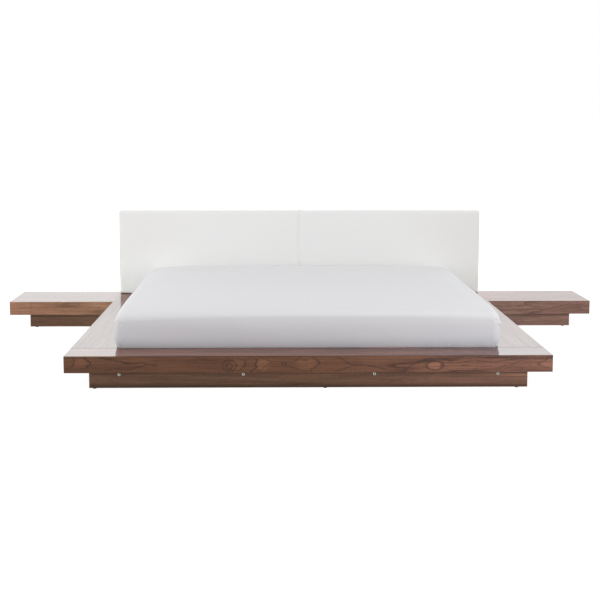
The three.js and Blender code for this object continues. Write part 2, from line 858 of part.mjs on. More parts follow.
function zipSlider() {
  const base = block(
    [-sliderLength / 2, sliderLength / 2],
    [0, sliderThickness],
    [-sliderHeight / 2, sliderHeight / 2],
  );
  const pull = block(
    [-pullWidth / 2, pullWidth / 2],
    [sliderThickness - pullThickness, sliderThickness],
    [-sliderHeight / 4 - pullLength, -sliderHeight / 4],
  );
  const slider = meshOf("zip_slider", join(base, pull), zincSteel);
  slider.position.set(sliderSideGap - recessHalf, mattressRear - coverInset + touch, zipLevel);
  return slider;
}

// Heater, its lead and its control

const leadY = mattressRear - padRearInset + padTailLength / 2;
const controlMiddle = controlFloorGap + controlHeight / 2;
const controlFront = plinthRearFace - controlDepth;

function controlOpening() {
  return block(
    [heaterX - controlWidth / 2 - touch, heaterX + controlWidth / 2 + touch],
    [plinthRearFront - cutOver, plinthRearFace + cutOver],
    [controlFloorGap - touch, controlFloorGap + controlHeight + touch],
  );
}

function leadHole(from, to) {
  return new THREE.CylinderGeometry(leadHoleRadius, leadHoleRadius, to - from + 2 * cutOver, coarse)
    .rotateX(Math.PI / 2)
    .translate(heaterX, leadY, (from + to) / 2);
}

function heaterPad() {
  const rear = mattressRear - padRearInset;
  const outline = new THREE.Shape(
    [
      [-padWidth / 2, rear - padLength],
      [padWidth / 2, rear - padLength],
      [padWidth / 2, rear],
      [padTailWidth / 2, rear],
      [padTailWidth / 2, rear + padTailLength],
      [-padTailWidth / 2, rear + padTailLength],
      [-padTailWidth / 2, rear],
      [-padWidth / 2, rear],
    ].map(([x, y]) => new THREE.Vector2(heaterX + x, y)),
  );
  const pad = new THREE.ExtrudeGeometry(outline, { depth: padThickness, bevelEnabled: false });
  const mesh = meshOf("heater_pad", pad, heaterFilm);
  mesh.position.z = padBottom;
  return mesh;
}

// The lead drops from the pad's tail through the boards and turns along the pedestal to the control.
function heaterLead() {
  const top = padBottom - touch;
  const bendTop = controlMiddle + leadBend;
  const bend = Array.from({ length: bendSteps + 1 }, (_, i) => {
    const angle = (i / bendSteps) * (Math.PI / 2);
    return [leadY + leadBend * (1 - Math.cos(angle)), bendTop - leadBend * Math.sin(angle)];
  });
  const route = [[leadY, top], ...bend, [controlFront - touch, controlMiddle]];
  const path = new THREE.CatmullRomCurve3(
    route.map(([y, z]) => new THREE.Vector3(heaterX, y, z)),
    false,
    "centripetal",
  );
  const section = new THREE.Shape().absarc(0, 0, leadRadius, 0, 2 * Math.PI);
  const options = { steps: leadSteps, extrudePath: path, curveSegments: leadSides, bevelEnabled: false };
  return meshOf("heater_lead", new THREE.ExtrudeGeometry(section, options), leadRubber);
}

function heaterControl() {
  const group = new THREE.Group();
  const halfWidth = controlWidth / 2;
  const halfHeight = controlHeight / 2;
  const flangeRear = plinthRearFront - plinthRearFace - touch;
  const housing = block([-halfWidth, halfWidth], [-controlDepth, 0], [-halfHeight, halfHeight]);
  const flange = block(
    [-halfWidth - controlFlange, halfWidth + controlFlange],
    [flangeRear - controlFlangeThickness, flangeRear],
    [-halfHeight - controlFlange, halfHeight + controlFlange],
  );
  const boreEnd = -dialShaftLength - loose;
  const shaftBore = barAlongY(dialShaftRadius + touch, dialOffset, 0, boreEnd, cutOver);
  const inlet = block(
    [-dialOffset - inletWidth / 2, -dialOffset + inletWidth / 2],
    [-inletDepth, cutOver],
    [-inletHeight / 2, inletHeight / 2],
  );
  const body = cut(join(housing, flange), shaftBore, inlet);
  group.add(meshOf("heater_control", body, controlPlastic));

  const knob = barAlongY(dialRadius, 0, 0, touch, dialDepth, fine);
  const shaft = barAlongY(dialShaftRadius, 0, 0, -dialShaftLength, dialDepth / 2);
  const grip = block(
    [-dialGripLength / 2, dialGripLength / 2],
    [dialDepth / 2, dialDepth + dialGrip],
    [-dialGrip / 2, dialGrip / 2],
  );
  const dial = meshOf("control_dial", join(knob, shaft, grip), dialPlastic);
  dial.position.x = dialOffset;
  group.add(dial);
  group.position.set(heaterX, plinthRearFace, controlMiddle);
  return group;
}

const bed = new THREE.Group();
bed.add(surround(), plinth(), bearers(), bedFeet());
for (const [name, side] of Object.entries(sides)) bed.add(tableWing(name, side));
bed.add(headboardPanel(), headboardPosts());
bed.add(mattressCover(), foamAndLiner(), waterCore(), zipSlider());
bed.add(heaterPad(), heaterLead(), heaterControl());

export default bed;
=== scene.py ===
"""The looks of a low platform waterbed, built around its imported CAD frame."""

import fnmatch
import math

import bpy
import numpy as np
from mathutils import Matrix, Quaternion, Vector, noise


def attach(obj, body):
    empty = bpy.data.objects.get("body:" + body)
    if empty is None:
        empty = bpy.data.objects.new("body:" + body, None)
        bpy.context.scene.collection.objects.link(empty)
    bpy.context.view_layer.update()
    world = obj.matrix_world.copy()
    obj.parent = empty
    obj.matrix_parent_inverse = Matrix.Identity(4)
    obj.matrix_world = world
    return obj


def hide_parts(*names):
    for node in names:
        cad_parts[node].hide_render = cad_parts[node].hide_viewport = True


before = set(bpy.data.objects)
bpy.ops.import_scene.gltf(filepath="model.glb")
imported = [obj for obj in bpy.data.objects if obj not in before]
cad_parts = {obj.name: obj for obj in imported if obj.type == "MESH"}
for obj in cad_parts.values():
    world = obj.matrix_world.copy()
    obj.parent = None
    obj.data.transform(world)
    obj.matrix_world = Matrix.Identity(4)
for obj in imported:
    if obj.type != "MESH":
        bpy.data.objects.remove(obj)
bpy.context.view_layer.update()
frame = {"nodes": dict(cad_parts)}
NODES = frame["nodes"]

# Camera, in the shared frame: metres and radians.
CAMERA_PLACE = Vector((-0.156, -7.032, 1.198))
CAMERA_YAW = 0.0195
CAMERA_PITCH = -0.1334
CAMERA_ROLL = 0.0005
CAMERA_LENS = 78.6  # mm on a 36 mm sensor

# Main places, in metres, as the CAD source has them.
DECK_TOP = 0.154
FASCIA_BOTTOM = 0.076
PLINTH_BOTTOM = 0.004
BOLT_PLACES = (0.300, 0.866)  # across, on both sides of the middle
BOLT_AXIS = 0.067
RECESS_HALF = 0.900
RECESS_FRONT = -0.945
MATTRESS_REAR = 1.055
ZIP_LEVEL = 0.118
HEADBOARD_HALF = 1.115
HEADBOARD_LOW = 0.156  # the padding, a little under its node's own edge
HEADBOARD_HIGH = 0.668
HEADBOARD_FRONT = 1.057
HEADBOARD_REAR = 1.122


# Material helpers


class NodeTree:
    """The node tree of a material or world. A node's inputs are given as sockets or constants."""

    def __init__(self, owner):
        owner.use_nodes = True
        self.tree = owner.node_tree
        self.tree.nodes.clear()

    def put(self, socket, value):
        if isinstance(value, bpy.types.NodeSocket):
            self.tree.links.new(value, socket)
        elif socket.type == "RGBA":
            socket.default_value = (*value, 1.0)
        else:
            socket.default_value = value

    def node(self, kind, *inputs, **settings):
        """Makes a node, with its inputs in their order."""
        made = self.tree.nodes.new("ShaderNode" + kind)
        for name, value in settings.items():
            setattr(made, name, value)
        for socket, value in zip(made.inputs, inputs):
            self.put(socket, value)
        return made

    def fill(self, made, **values):
        """Sets a node's inputs by name."""
        for name, value in values.items():
            name = name.replace("_", " ").title().replace("Ior", "IOR")
            self.put(made.inputs[name], value)
        return made

    def math(self, operation, *values):
        return self.node("Math", *values, operation=operation).outputs[0]

    def product(self, *values):
        result = values[0]
        for value in values[1:]:
            result = self.math("MULTIPLY", result, value)
        return result

    def away(self, a, b):
        """How far one value is from another."""
        return self.math("ABSOLUTE", self.math("SUBTRACT", a, b))

    def range(self, value, low, high, to_low=0.0, to_high=1.0, smooth=False):
        """A value carried over from one range to another and held at its ends."""
        kind = "SMOOTHSTEP" if smooth else "LINEAR"
        made = self.node("MapRange", value, low, high, to_low, to_high, interpolation_type=kind)
        return made.outputs[0]

    def joined(self, x, y, z):
        return self.node("CombineXYZ", x, y, z).outputs[0]

    def vector(self, operation, *inputs):
        return self.node("VectorMath", *inputs, operation=operation).outputs

    def scaled(self, vector, scales):
        """A vector times one number, or times a number for each axis."""
        factors = scales if isinstance(scales, tuple) else (scales,) * 3
        return self.vector("MULTIPLY", vector, factors)[0]

    def noise(self, vector, scales, detail, roughness=0.5, distortion=0.0):
        made = self.node("TexNoise", self.scaled(vector, scales))
        self.fill(made, scale=1.0, detail=detail, roughness=roughness, distortion=distortion)
        return made.outputs[0]

    def mix(self, factor, a, b, blend="MIX"):
        made = self.node("Mix", factor, data_type="RGBA", blend_type=blend)
        self.put(made.inputs[6], a)  # 6 and 7 are its colours A and B, and output 2 the colour
        self.put(made.inputs[7], b)
        return made.outputs[2]

    def dimmed(self, color, level):
        """A colour times a level."""
        grey = self.node("CombineColor", level, level, level).outputs[0]
        return self.mix(1.0, color, grey, "MULTIPLY")

    def ramp(self, value, stops, interpolation="LINEAR"):
        made = self.node("ValToRGB", value)
        made.color_ramp.interpolation = interpolation
        elements = made.color_ramp.elements
        while len(elements) < len(stops):
            elements.new(0.5)
        for element, (position, color) in zip(elements, stops):
            element.position = position
            element.color = (*color, 1.0)
        return made.outputs[0]

    def curve(self, share, levels):
        """A smooth curve through levels that are spread evenly over a share from 0 to 1."""
        low, high = min(levels), max(levels) + 0.1
        stops = [
            (i / (len(levels) - 1), ((level - low) / (high - low),) * 3)
            for i, level in enumerate(levels)
        ]
        return self.range(self.ramp(share, stops, "CARDINAL"), 0.0, 1.0, low, high)


MATERIALS = {}  # by the names given here, which Blender may change


class Look(NodeTree):
    """A new material with one principled shader, whose inputs are set by name."""

    def __init__(self, name, **values):
        MATERIALS[name] = bpy.data.materials.new(name)
        super().__init__(MATERIALS[name])
        self.surface = self.node("BsdfPrincipled")
        self.node("OutputMaterial", self.surface.outputs[0])
        self.set(**values)
        self.place = self.node("TexCoord").outputs["Object"]

    def set(self, **values):
        self.fill(self.surface, **values)

    def axes(self):
        return self.node("SeparateXYZ", self.place).outputs

    def bump(self, height, depth, over=None):
        """Relief from a height, on top of an earlier relief where one is given."""
        made = self.fill(self.node("Bump"), distance=depth, height=height)
        if over:
            self.fill(made, normal=over)
        self.set(normal=made.outputs[0])
        return made.outputs[0]


# Wood


# The figure in the veneer of two fascias, drawn after the photograph, in millimetres.
# Dark lines along the grain: X at both ends, half width, darkness, then heights spread evenly.
FASCIA_LINES = (
    (-964, -690, 3.6, 0.95, (150, 142, 134, 127, 120, 124, 116, 109)),
    (-931, -730, 3.4, 0.95, (88, 95, 95, 94, 106, 115)),
    (-845, -800, 6.0, 1.00, (121, 120)),
    (-558, -422, 2.6, 0.65, (131, 121, 118)),
    (-520, -350, 2.6, 0.65, (148, 138, 135, 143, 150)),
    (-168, -31, 2.9, 0.90, (129, 127, 126, 129, 153)),
    (-109, -5, 2.6, 0.80, (109, 101, 87, 82)),
    (-24, -8, 4.8, 0.85, (134, 134)),
    (130, 348, 3.8, 0.95, (147, 131, 112, 110, 109, 105, 99, 93)),
    (117, 215, 2.9, 0.85, (80, 90, 102, 110)),
    (426, 571, 4.1, 0.85, (83, 98, 120, 129, 135, 140)),
    (581, 708, 3.4, 0.85, (149, 142, 131, 129, 134, 150)),
    (611, 1001, 2.9, 0.80, (119, 118, 122, 130, 124, 124, 130, 137, 143)),
    (689, 734, 4.8, 0.85, (107, 107)),
    (747, 829, 2.6, 0.65, (88, 98, 101)),
    (858, 972, 2.6, 0.72, (93, 106, 112, 131)),
    (897, 985, 2.6, 0.72, (94, 101, 93)),
)
# Dark lines across it: Z at both ends, half width, darkness, then places along X.
FASCIA_CROSSINGS = (
    (92, 151, 5.4, 0.80, (-1110, -1078, -1069, -1066, -1075)),
    (84, 151, 6.6, 0.98, (-1108, -1022, -1004, -993, -1011, -1023)),
    (82, 148, 6.0, 0.80, (-325, -304, -290, -292, -335)),
    (77, 152, 6.0, 0.95, (-265, -256, -240, -246, -238, -240, -285)),
    (80, 149, 5.4, 0.85, (-231, -216, -202, -190, -170, -197, -226)),
    (84, 151, 6.0, 0.85, (6, 20, 40, 46, 33, 15)),
    (81, 119, 5.4, 0.80, (669, 618, 602, 609)),
    (92, 149, 6.0, 0.90, (1100, 1068, 1047, 1075, 1092, 1113)),
)
# Dark loops: the middle along X and Z, half width, half height, the line's half width, darkness.
FASCIA_LOOPS = (
    (-363, 106, 14, 14, 4.6, 0.90),
    (-363, 108, 32, 26, 4.1, 0.85),
    (-114, 118, 9, 8, 3.0, 0.85),
    (574, 107, 40, 20, 3.9, 0.85),
)
# Patches: the middle along X and Z, half width, half height, how much lighter. Below 0 is darker.
FASCIA_PATCHES = (
    (-213, 112, 34, 34, 0.36),
    (-16, 114, 60, 30, 0.32),
    (-330, 112, 34, 36, 0.20),
    (574, 107, 36, 17, 0.38),
    (1092, 114, 34, 22, 0.25),
    (-1040, 122, 36, 24, 0.22),
    (-250, 115, 330, 70, -0.09),
)
# The same for the fronts of the two table wings: lines on the right one, crossings on the left.
RIGHT_TABLE_LINES = (
    (1120, 1260, 2.6, 0.55, (122, 124, 117, 126)),
    (1080, 1290, 2.2, 0.35, (140, 137, 141, 134, 138)),
    (1236, 1420, 2.6, 0.50, (104, 112, 128, 136, 137)),
    (1300, 1500, 2.4, 0.45, (92, 98, 110, 124, 139)),
    (1350, 1570, 2.4, 0.50, (118, 124, 130, 138, 146)),
    (1400, 1560, 2.4, 0.45, (90, 96, 112, 130)),
    (1480, 1620, 2.8, 0.60, (108, 118, 130, 136)),
    (1490, 1630, 2.4, 0.45, (86, 98, 110, 116)),
    (1130, 1210, 2.2, 0.40, (100, 108, 112)),
)
TABLE_CROSSINGS = (
    (84, 149, 4.0, 0.40, (-1604, -1600, -1602)),
    (80, 151, 3.4, 0.35, (-1402, -1405, -1403)),
)


def drawn_lines(look, run, across, lines, fade):
    """How dark a point is from lines that run along one axis and wander across it."""
    dark = 0.0
    for start, end, half_width, depth, places in lines:
        middle = look.curve(look.range(run, start, end), places)
        off = look.away(across, middle)
        line = look.range(off, 1.15 * half_width, 0.1 * half_width, 0.0, depth)
        begun = look.range(run, start - fade, start + fade)
        unended = look.range(run, end + fade, end - fade)
        dark = look.math("MAXIMUM", dark, look.product(begun, unended, line))
    return dark


def drawn_figure(look, color, dark_color, x, z, drawing):
    """Adds drawn lines, crossings, loops and patches to a colour. x and z are in millimetres."""
    lines, crossings, loops, patches = drawing
    place = look.joined(x, 0.0, z)

    def reach(middle_x, middle_z, half_width, half_height):
        """How far a point is from an oval's middle: 1 on its line."""
        offset = look.vector("SUBTRACT", place, (middle_x, 0.0, middle_z))[0]
        share = look.scaled(offset, (1 / half_width, 0.0, 1 / half_height))
        return look.vector("LENGTH", share)["Value"]

    dark = drawn_lines(look, x, z, lines, 9.0)
    dark = look.math("MAXIMUM", dark, drawn_lines(look, z, x, crossings, 2.5))
    for *oval, line_width, depth in loops:
        off = look.away(reach(*oval), 1.0)
        width = line_width / min(oval[2:])
        line = look.range(off, 1.15 * width, 0.1 * width, 0.0, depth)
        dark = look.math("MAXIMUM", dark, line)
    for *oval, gain in patches:
        lift = look.range(reach(*oval), 1.1, 0.5, 1.0, 1.0 + gain, smooth=True)
        color = look.dimmed(color, lift)
    uneven = look.noise(place, (0.03, 0.0, 0.12), detail=3)
    shown = look.product(dark, look.range(uneven, 0.35, 0.6, 0.7, 1.1))
    return look.mix(shown, color, dark_color)


def lacquer(look, grain, x, y, gloss):
    """A clear coat, duller towards the head and the right, and dull under the headboard and in the
    joint of the front panel."""
    under = look.product(
        look.range(y, HEADBOARD_FRONT, HEADBOARD_FRONT + 0.006),
        look.range(look.math("ABSOLUTE", x), HEADBOARD_HALF, HEADBOARD_HALF - 0.004),
    )
    joint = look.range(look.away(y, RECESS_FRONT), 0.0028, 0.002)
    sheen = look.noise(grain, (1.6, 70, 70), detail=3)
    shine = look.product(
        look.range(sheen, 0.3, 0.7, gloss * 1.04, gloss * 0.96),
        look.range(x, -1.0, 1.0, 1.0, 0.96),
        look.range(y, -1.1, 0.7, 1.08, 0.825),
        look.math("SUBTRACT", 1.0, look.math("MAXIMUM", under, joint)),
    )
    uneven = look.noise(grain, (3, 130, 130), detail=3)
    look.set(roughness=look.range(uneven, 0.3, 0.7, 0.3, 0.4), specular_ior_level=0.0)
    look.set(coat_weight=shine, coat_roughness=0.07, coat_ior=1.5)


def veneer(name, along, tones, rings, stretch, seed=0.0, contrast=1.0, drawing=None, gloss=0.0,
           shift=None, painted_floor_shade=0.0, painted_overhang_shade=0.0, top_line_and_highlight=False):
    """Walnut veneer with its grain along X or Y. tones are its light, middle and dark colours.
    rings is how many growth rings its broad figure runs through, and stretch how many times a metre
    that figure changes along and across the grain. shift is a tint and the X range it comes in
    over. Painted shade darkens the veneer along the floor from its lower level, and under an
    overhang down from its upper level. A thin line along its top, where asked for, has a painted
    highlight at the far left and is dark elsewhere, and gloss gives a clear coat."""
    look = Look(name)
    x, y, z = look.axes()
    length, cross = (x, y) if along == "X" else (y, x)
    grain = look.vector("ADD", look.joined(length, cross, z), (seed, seed * 0.7, 0.0))[0]

    coarse = look.node("TexNoise", look.scaled(grain, (9, 55, 55))).outputs["Color"]
    warp = look.vector("SUBTRACT", coarse, (0.5, 0.5, 0.5))[0]
    warped = look.vector("ADD", grain, look.scaled(warp, (0.035, 0.010, 0.010)))[0]
    broad = look.noise(warped, (*stretch, stretch[1]), detail=1.5)
    wander = look.noise(grain, (7, 40, 40), detail=3)
    field = look.math("MULTIPLY_ADD", broad, rings, look.product(wander, 0.5))
    light, middle, dark = tones
    figure = look.ramp(
        look.math("FRACT", field),
        ((0.0, middle), (0.1, light), (0.5, light), (0.78, middle), (0.93, dark), (1.0, middle)),
    )
    fade = look.range(look.noise(grain, (3, 18, 18), detail=1), 0.36, 0.62, 0.35, 1.0)
    figure = look.mix(look.product(fade, contrast), middle, figure)
    if drawing:
        sway = look.node("SeparateXYZ", look.scaled(warp, (0.0, 12.0, 9.0))).outputs
        drawn_x = look.math("MULTIPLY_ADD", x, 1000.0, sway[1])
        drawn_z = look.math("MULTIPLY_ADD", z, 1000.0, sway[2])
        line_color = tuple(1.25 * c for c in dark)
        figure = drawn_figure(look, figure, line_color, drawn_x, drawn_z, drawing)

    streaks = look.noise(grain, (4, 160, 160), detail=5, roughness=0.7)
    streak_tone = look.ramp(streaks, ((0.32, (0.68,) * 3), (0.68, (1.31,) * 3)))
    color = look.mix(1.0, figure, streak_tone, "MULTIPLY")
    pores = look.range(look.noise(grain, (45, 1500, 1500), detail=2), 0.34, 0.46, 0.62, 1.0)
    color = look.dimmed(color, pores)
    # Painted shade along the floor: darkest at the lower level, gone 30 mm above it.
    if painted_floor_shade:
        edge = look.range(z, painted_floor_shade, painted_floor_shade + 0.03, 0.42, 1.0, smooth=True)
        color = look.dimmed(color, edge)
    # Painted shadow under an overhang: darker from 12 mm under the upper level upwards, fading out
    # by 20 mm under it.
    if painted_overhang_shade:
        edge = look.range(z, painted_overhang_shade - 0.020, painted_overhang_shade - 0.012, 1.0, 0.74, smooth=True)
        color = look.dimmed(color, edge)
    if top_line_and_highlight:
        # A thin line along the top edge: a painted highlight at the far left, and dark elsewhere.
        lip = look.range(z, DECK_TOP - 0.0042, DECK_TOP - 0.0032)
        edge = look.mix(look.range(x, -0.90, -0.85), (0.42, 0.33, 0.19), (0.045, 0.019, 0.010))
        amount = look.range(x, -0.90, -0.85, 0.25, 0.45)
        color = look.mix(look.product(lip, amount), color, edge)
    if shift:
        tint, start, end = shift
        amount = look.range(x, start, end, smooth=True)
        color = look.mix(amount, color, look.mix(1.0, color, tint, "MULTIPLY"))
    look.set(base_color=color)
    if gloss:
        lacquer(look, grain, x, y, gloss)
    else:
        look.set(roughness=look.range(streaks, 0.3, 0.7, 0.38, 0.5), specular_ior_level=0.28)
    look.bump(look.math("ADD", pores, look.product(streaks, 0.3)), 0.00006)


def board(name, tones, speck):
    """Raw chipboard or softwood. speck is how many times a metre it changes along Y, X and Z."""
    look = Look(name)
    x, y, z = look.axes()
    grain = look.joined(y, x, z)
    chips = look.noise(grain, speck, detail=4, roughness=0.7)
    broad = look.noise(grain, (3, 6, 6), detail=2)
    color = look.ramp(chips, ((0.3, tones[0]), (0.5, tones[1]), (0.72, tones[2])))
    color = look.mix(look.range(broad, 0.3, 0.7, 0.0, 0.3), color, tones[0])
    look.set(base_color=color, roughness=look.range(chips, 0.3, 0.7, 0.72, 0.9))
    look.bump(chips, 0.0003)


# Plastics, metal, foam, vinyl and textiles


def plastic(name, color, roughness, grain=900):
    """Moulded plastic with a fine grain and a little dust."""
    look = Look(name)
    fine = look.noise(look.place, grain, detail=2)
    broad = look.noise(look.place, 25, detail=3)
    dusty = tuple(min(1.0, c * 1.25 + 0.015) for c in color)
    look.set(base_color=look.mix(look.range(broad, 0.4, 0.7, 0.0, 0.5), color, dusty))
    look.set(roughness=look.range(broad, 0.3, 0.7, roughness - 0.06, roughness + 0.06))
    look.bump(fine, 0.00006)


def steel(name):
    """Zinc-plated steel, with painted shade inside the bolts' hexagonal sockets."""
    look = Look(name, metallic=1.0)
    brushed = look.noise(look.place, (900, 60, 900), detail=3)
    dull = look.noise(look.place, 160, detail=3)
    x, _, z = look.axes()
    spread = look.math("ABSOLUTE", x)
    off = look.math("MINIMUM", *(look.away(spread, place) for place in BOLT_PLACES))
    up = look.math("SUBTRACT", z, BOLT_AXIS)
    reach = look.vector("LENGTH", look.joined(off, 0.0, up))["Value"]
    # Painted shade in the hollow of each socket.
    inside = look.range(reach, 0.0038, 0.0032)
    color = look.ramp(dull, ((0.3, (0.62, 0.63, 0.60)), (0.65, (0.90, 0.91, 0.87))))
    look.set(base_color=look.mix(inside, color, (0.06, 0.065, 0.05)))
    look.set(roughness=look.range(brushed, 0.3, 0.7, 0.24, 0.4))
    look.bump(brushed, 0.00002)


def foam(name, color):
    """Open-cell foam that has yellowed in places, with painted shade in the hollows of its cells.
    """
    look = Look(name, roughness=0.95, sheen_weight=0.2)
    cells = look.node("TexVoronoi", look.scaled(look.place, 620)).outputs[0]
    broad = look.noise(look.place, 9, detail=3)
    pore_shade = tuple(c * 0.72 for c in color)
    tired = tuple(c * f for c, f in zip(color, (1.0, 0.96, 0.85)))
    base = look.mix(look.range(broad, 0.35, 0.7), color, tired)
    # Painted shade in the hollows of the cells.
    look.set(base_color=look.mix(look.range(cells, 0.45, 0.1), base, pore_shade))
    look.bump(cells, 0.0009)


def vinyl(name, color, roughness):
    """Thin rippled vinyl, paler where it is stretched."""
    look = Look(name)
    ripples = look.noise(look.place, (14, 9, 20), detail=4, distortion=0.6)
    grain = look.noise(look.place, 700, detail=2)
    pale = tuple(min(1.0, c * 1.3 + 0.02) for c in color)
    look.set(base_color=look.mix(look.range(ripples, 0.35, 0.7), color, pale))
    look.set(roughness=look.range(grain, 0.3, 0.7, roughness - 0.05, roughness + 0.08))
    soft = look.bump(ripples, 0.003)
    look.bump(grain, 0.00005, over=soft)


def leatherette(name):
    """White leatherette with a fine pebbled grain."""
    look = Look(name, specular_ior_level=0.4)
    cells = look.node("TexVoronoi", look.scaled(look.place, 560)).outputs[0]
    fine = look.noise(look.place, 1500, detail=2)
    broad = look.noise(look.place, 2.2, detail=2)
    white, worn = (0.866, 0.864, 0.857), (0.842, 0.838, 0.829)
    color = look.mix(look.range(broad, 0.35, 0.7), white, worn)
    grooves = look.range(cells, 0.62, 0.35, 0.0, 0.16)
    look.set(base_color=look.mix(grooves, worn, color))
    look.set(roughness=look.range(cells, 0.1, 0.6, 0.40, 0.52))
    grain = look.bump(cells, 0.00022)
    look.bump(fine, 0.00004, over=grain)


def jersey(name):
    """A fine knit. Painted shade makes it greyer on the mattress's sides, and painted light makes
    it paler and bluer at their foot. Its UV map is in metres along the cloth."""
    look = Look(name, roughness=0.88, sheen_weight=0.15, specular_ior_level=0.25)
    cloth = look.node("UVMap").outputs[0]
    u, v, _ = look.node("SeparateXYZ", cloth).outputs
    wale = look.math("SINE", look.product(u, 2 * math.pi * WALES))
    course = look.math("SINE", look.product(v, 2 * math.pi * COURSES))
    knit = look.math("MULTIPLY_ADD", wale, 0.6, look.product(course, 0.4))
    slub = look.noise(cloth, (260, 18, 1), detail=3)
    broad = look.noise(cloth, (1.6, 5.5, 1), detail=3)
    base, shade = (0.820, 0.818, 0.834), (0.786, 0.783, 0.801)
    color = look.mix(look.range(broad, 0.35, 0.7), base, shade)
    threads = look.range(look.math("MULTIPLY_ADD", slub, 0.6, knit), -0.6, 1.0, 0.0, 0.10)
    color = look.mix(threads, shade, color)
    height = look.axes()[2]
    # Painted shade: the sides are darker and greyer than the top.
    side = look.range(height, MATTRESS_TOP - 0.02, MATTRESS_TOP - 0.05, smooth=True)
    color = look.mix(side, color, (0.758, 0.758, 0.788))
    # Painted light: the foot of the sides is paler and bluer.
    low = look.range(height, DECK_TOP + 0.12, DECK_TOP, smooth=True)
    look.set(base_color=look.mix(low, color, (0.79, 0.83, 0.885)))
    soft = look.bump(slub, 0.00008)
    look.bump(knit, 0.00007, over=soft)


def make_materials():
    """Veneers have light, middle and dark tones, and raw boards three tones of their chips."""
    walnut = ((0.178, 0.076, 0.038), (0.130, 0.055, 0.029), (0.042, 0.021, 0.013))
    deck = ((0.255, 0.090, 0.048), (0.158, 0.057, 0.032), (0.058, 0.021, 0.014))
    pale = ((0.354, 0.175, 0.103), (0.250, 0.124, 0.073), (0.105, 0.051, 0.031))
    rosy = ((0.305, 0.162, 0.124), (0.206, 0.111, 0.086), (0.076, 0.039, 0.032))
    grey = ((0.182, 0.092, 0.052), (0.146, 0.074, 0.042), (0.090, 0.046, 0.028))
    darker_grey = tuple(tuple(0.87 * c for c in tone) for tone in grey)
    chips = ((0.36, 0.26, 0.16), (0.50, 0.38, 0.24), (0.62, 0.50, 0.35))
    pine = ((0.50, 0.36, 0.20), (0.60, 0.45, 0.27), (0.67, 0.53, 0.35))
    fine = {"rings": 9.0, "stretch": (0.5, 26.0), "contrast": 0.7}
    calm = {"rings": 5.0, "stretch": (0.9, 12.0)}
    veneer(
        "walnut_fascia", "X", walnut, rings=3.0, stretch=(1.1, 15.0), contrast=0.8,
        drawing=(FASCIA_LINES, FASCIA_CROSSINGS, FASCIA_LOOPS, FASCIA_PATCHES),
        # Painted light: the shift makes the front lighter and greyer towards the right, where more
        # light falls.
        shift=((1.62, 1.74, 2.30), -0.2, 1.2), top_line_and_highlight=True,
    )
    veneer("walnut_side_fascia", "Y", walnut, seed=3.1, **calm)
    veneer(
        "walnut_deck_front", "X", deck, seed=5.3, gloss=0.64,
        shift=((1.02, 1.2, 1.8), 0.0, 0.9), **calm,
    )
    veneer(
        "walnut_deck_sides", "Y", deck, seed=8.7, rings=5.0, stretch=(0.9, 20.0),
        contrast=0.35, gloss=0.64,
    )
    veneer(
        "walnut_table_left", "X", pale, seed=11.9, rings=5.0, stretch=(1.2, 14.0),
        contrast=0.75, drawing=((), TABLE_CROSSINGS, (), ()), top_line_and_highlight=True,
    )
    veneer(
        "walnut_table_right", "X", rosy, seed=14.2, rings=7.0, stretch=(2.0, 14.0),
        contrast=0.6, drawing=(RIGHT_TABLE_LINES, (), (), ()), top_line_and_highlight=True,
    )
    veneer("walnut_table_top_left", "X", deck, seed=17.4, gloss=0.705, **calm)
    veneer(
        "walnut_table_top_right", "X", deck, seed=19.2, gloss=0.61,
        shift=((1.16, 1.0, 1.0), 0.9, 1.2), **calm,
    )
    veneer("walnut_table_end", "Y", pale, seed=21.0, **calm)
    veneer(
        # Painted light: the shift makes the plinth lighter and greyer towards the right, where more
        # light falls. Painted shade darkens it along the floor.
        "walnut_plinth", "X", grey, seed=24.6, shift=((1.5, 1.5, 1.75), 0.0, 1.0),
        painted_floor_shade=PLINTH_BOTTOM, **fine,
    )
    # Painted shade along the floor.
    veneer("walnut_plinth_sides", "Y", grey, seed=28.3, painted_floor_shade=PLINTH_BOTTOM, **fine)
    veneer(
        "walnut_table_plinth", "X", darker_grey, seed=31.8,
        # Painted shadow under the table's fascia, in a band at the top of the plinth.
        shift=((1.86, 2.02, 2.76), 0.9, 1.2), painted_overhang_shade=FASCIA_BOTTOM, **fine,
    )
    board("chipboard", chips, (120, 300, 300))
    board("softwood", pine, (300, 300, 6))
    steel("zinc_steel")
    plastic("foot_plastic", (0.028, 0.027, 0.03), 0.5)
    plastic("control_plastic", (0.70, 0.70, 0.68), 0.4)
    plastic("dark_plastic", (0.042, 0.045, 0.05), 0.38)
    plastic("heater_film", (0.03, 0.032, 0.035), 0.5, grain=400)
    plastic("lead_rubber", (0.017, 0.018, 0.02), 0.55)
    foam("pale_foam", (0.74, 0.69, 0.55))
    vinyl("liner_vinyl", (0.22, 0.31, 0.42), 0.42)
    vinyl("core_vinyl", (0.05, 0.16, 0.38), 0.3)
    leatherette("leatherette")
    jersey("jersey")


# Meshes

EDGE_ANGLE = math.radians(28)  # edges that turn by more are softened
CROWN_STEP = 0.0098  # between the rings on a soft piece's crown


def add_object(name, data):
    made = bpy.data.objects.new(name, data)
    bpy.context.scene.collection.objects.link(made)
    return made


def smooth_faces(mesh):
    mesh.polygons.foreach_set("use_smooth", [True] * len(mesh.polygons))


def soften(piece, width):
    bevel = piece.modifiers.new("edges", "BEVEL")
    bevel.width = width
    bevel.segments = 2
    bevel.limit_method = "ANGLE"
    bevel.angle_limit = EDGE_ANGLE
    bevel.use_clamp_overlap = True


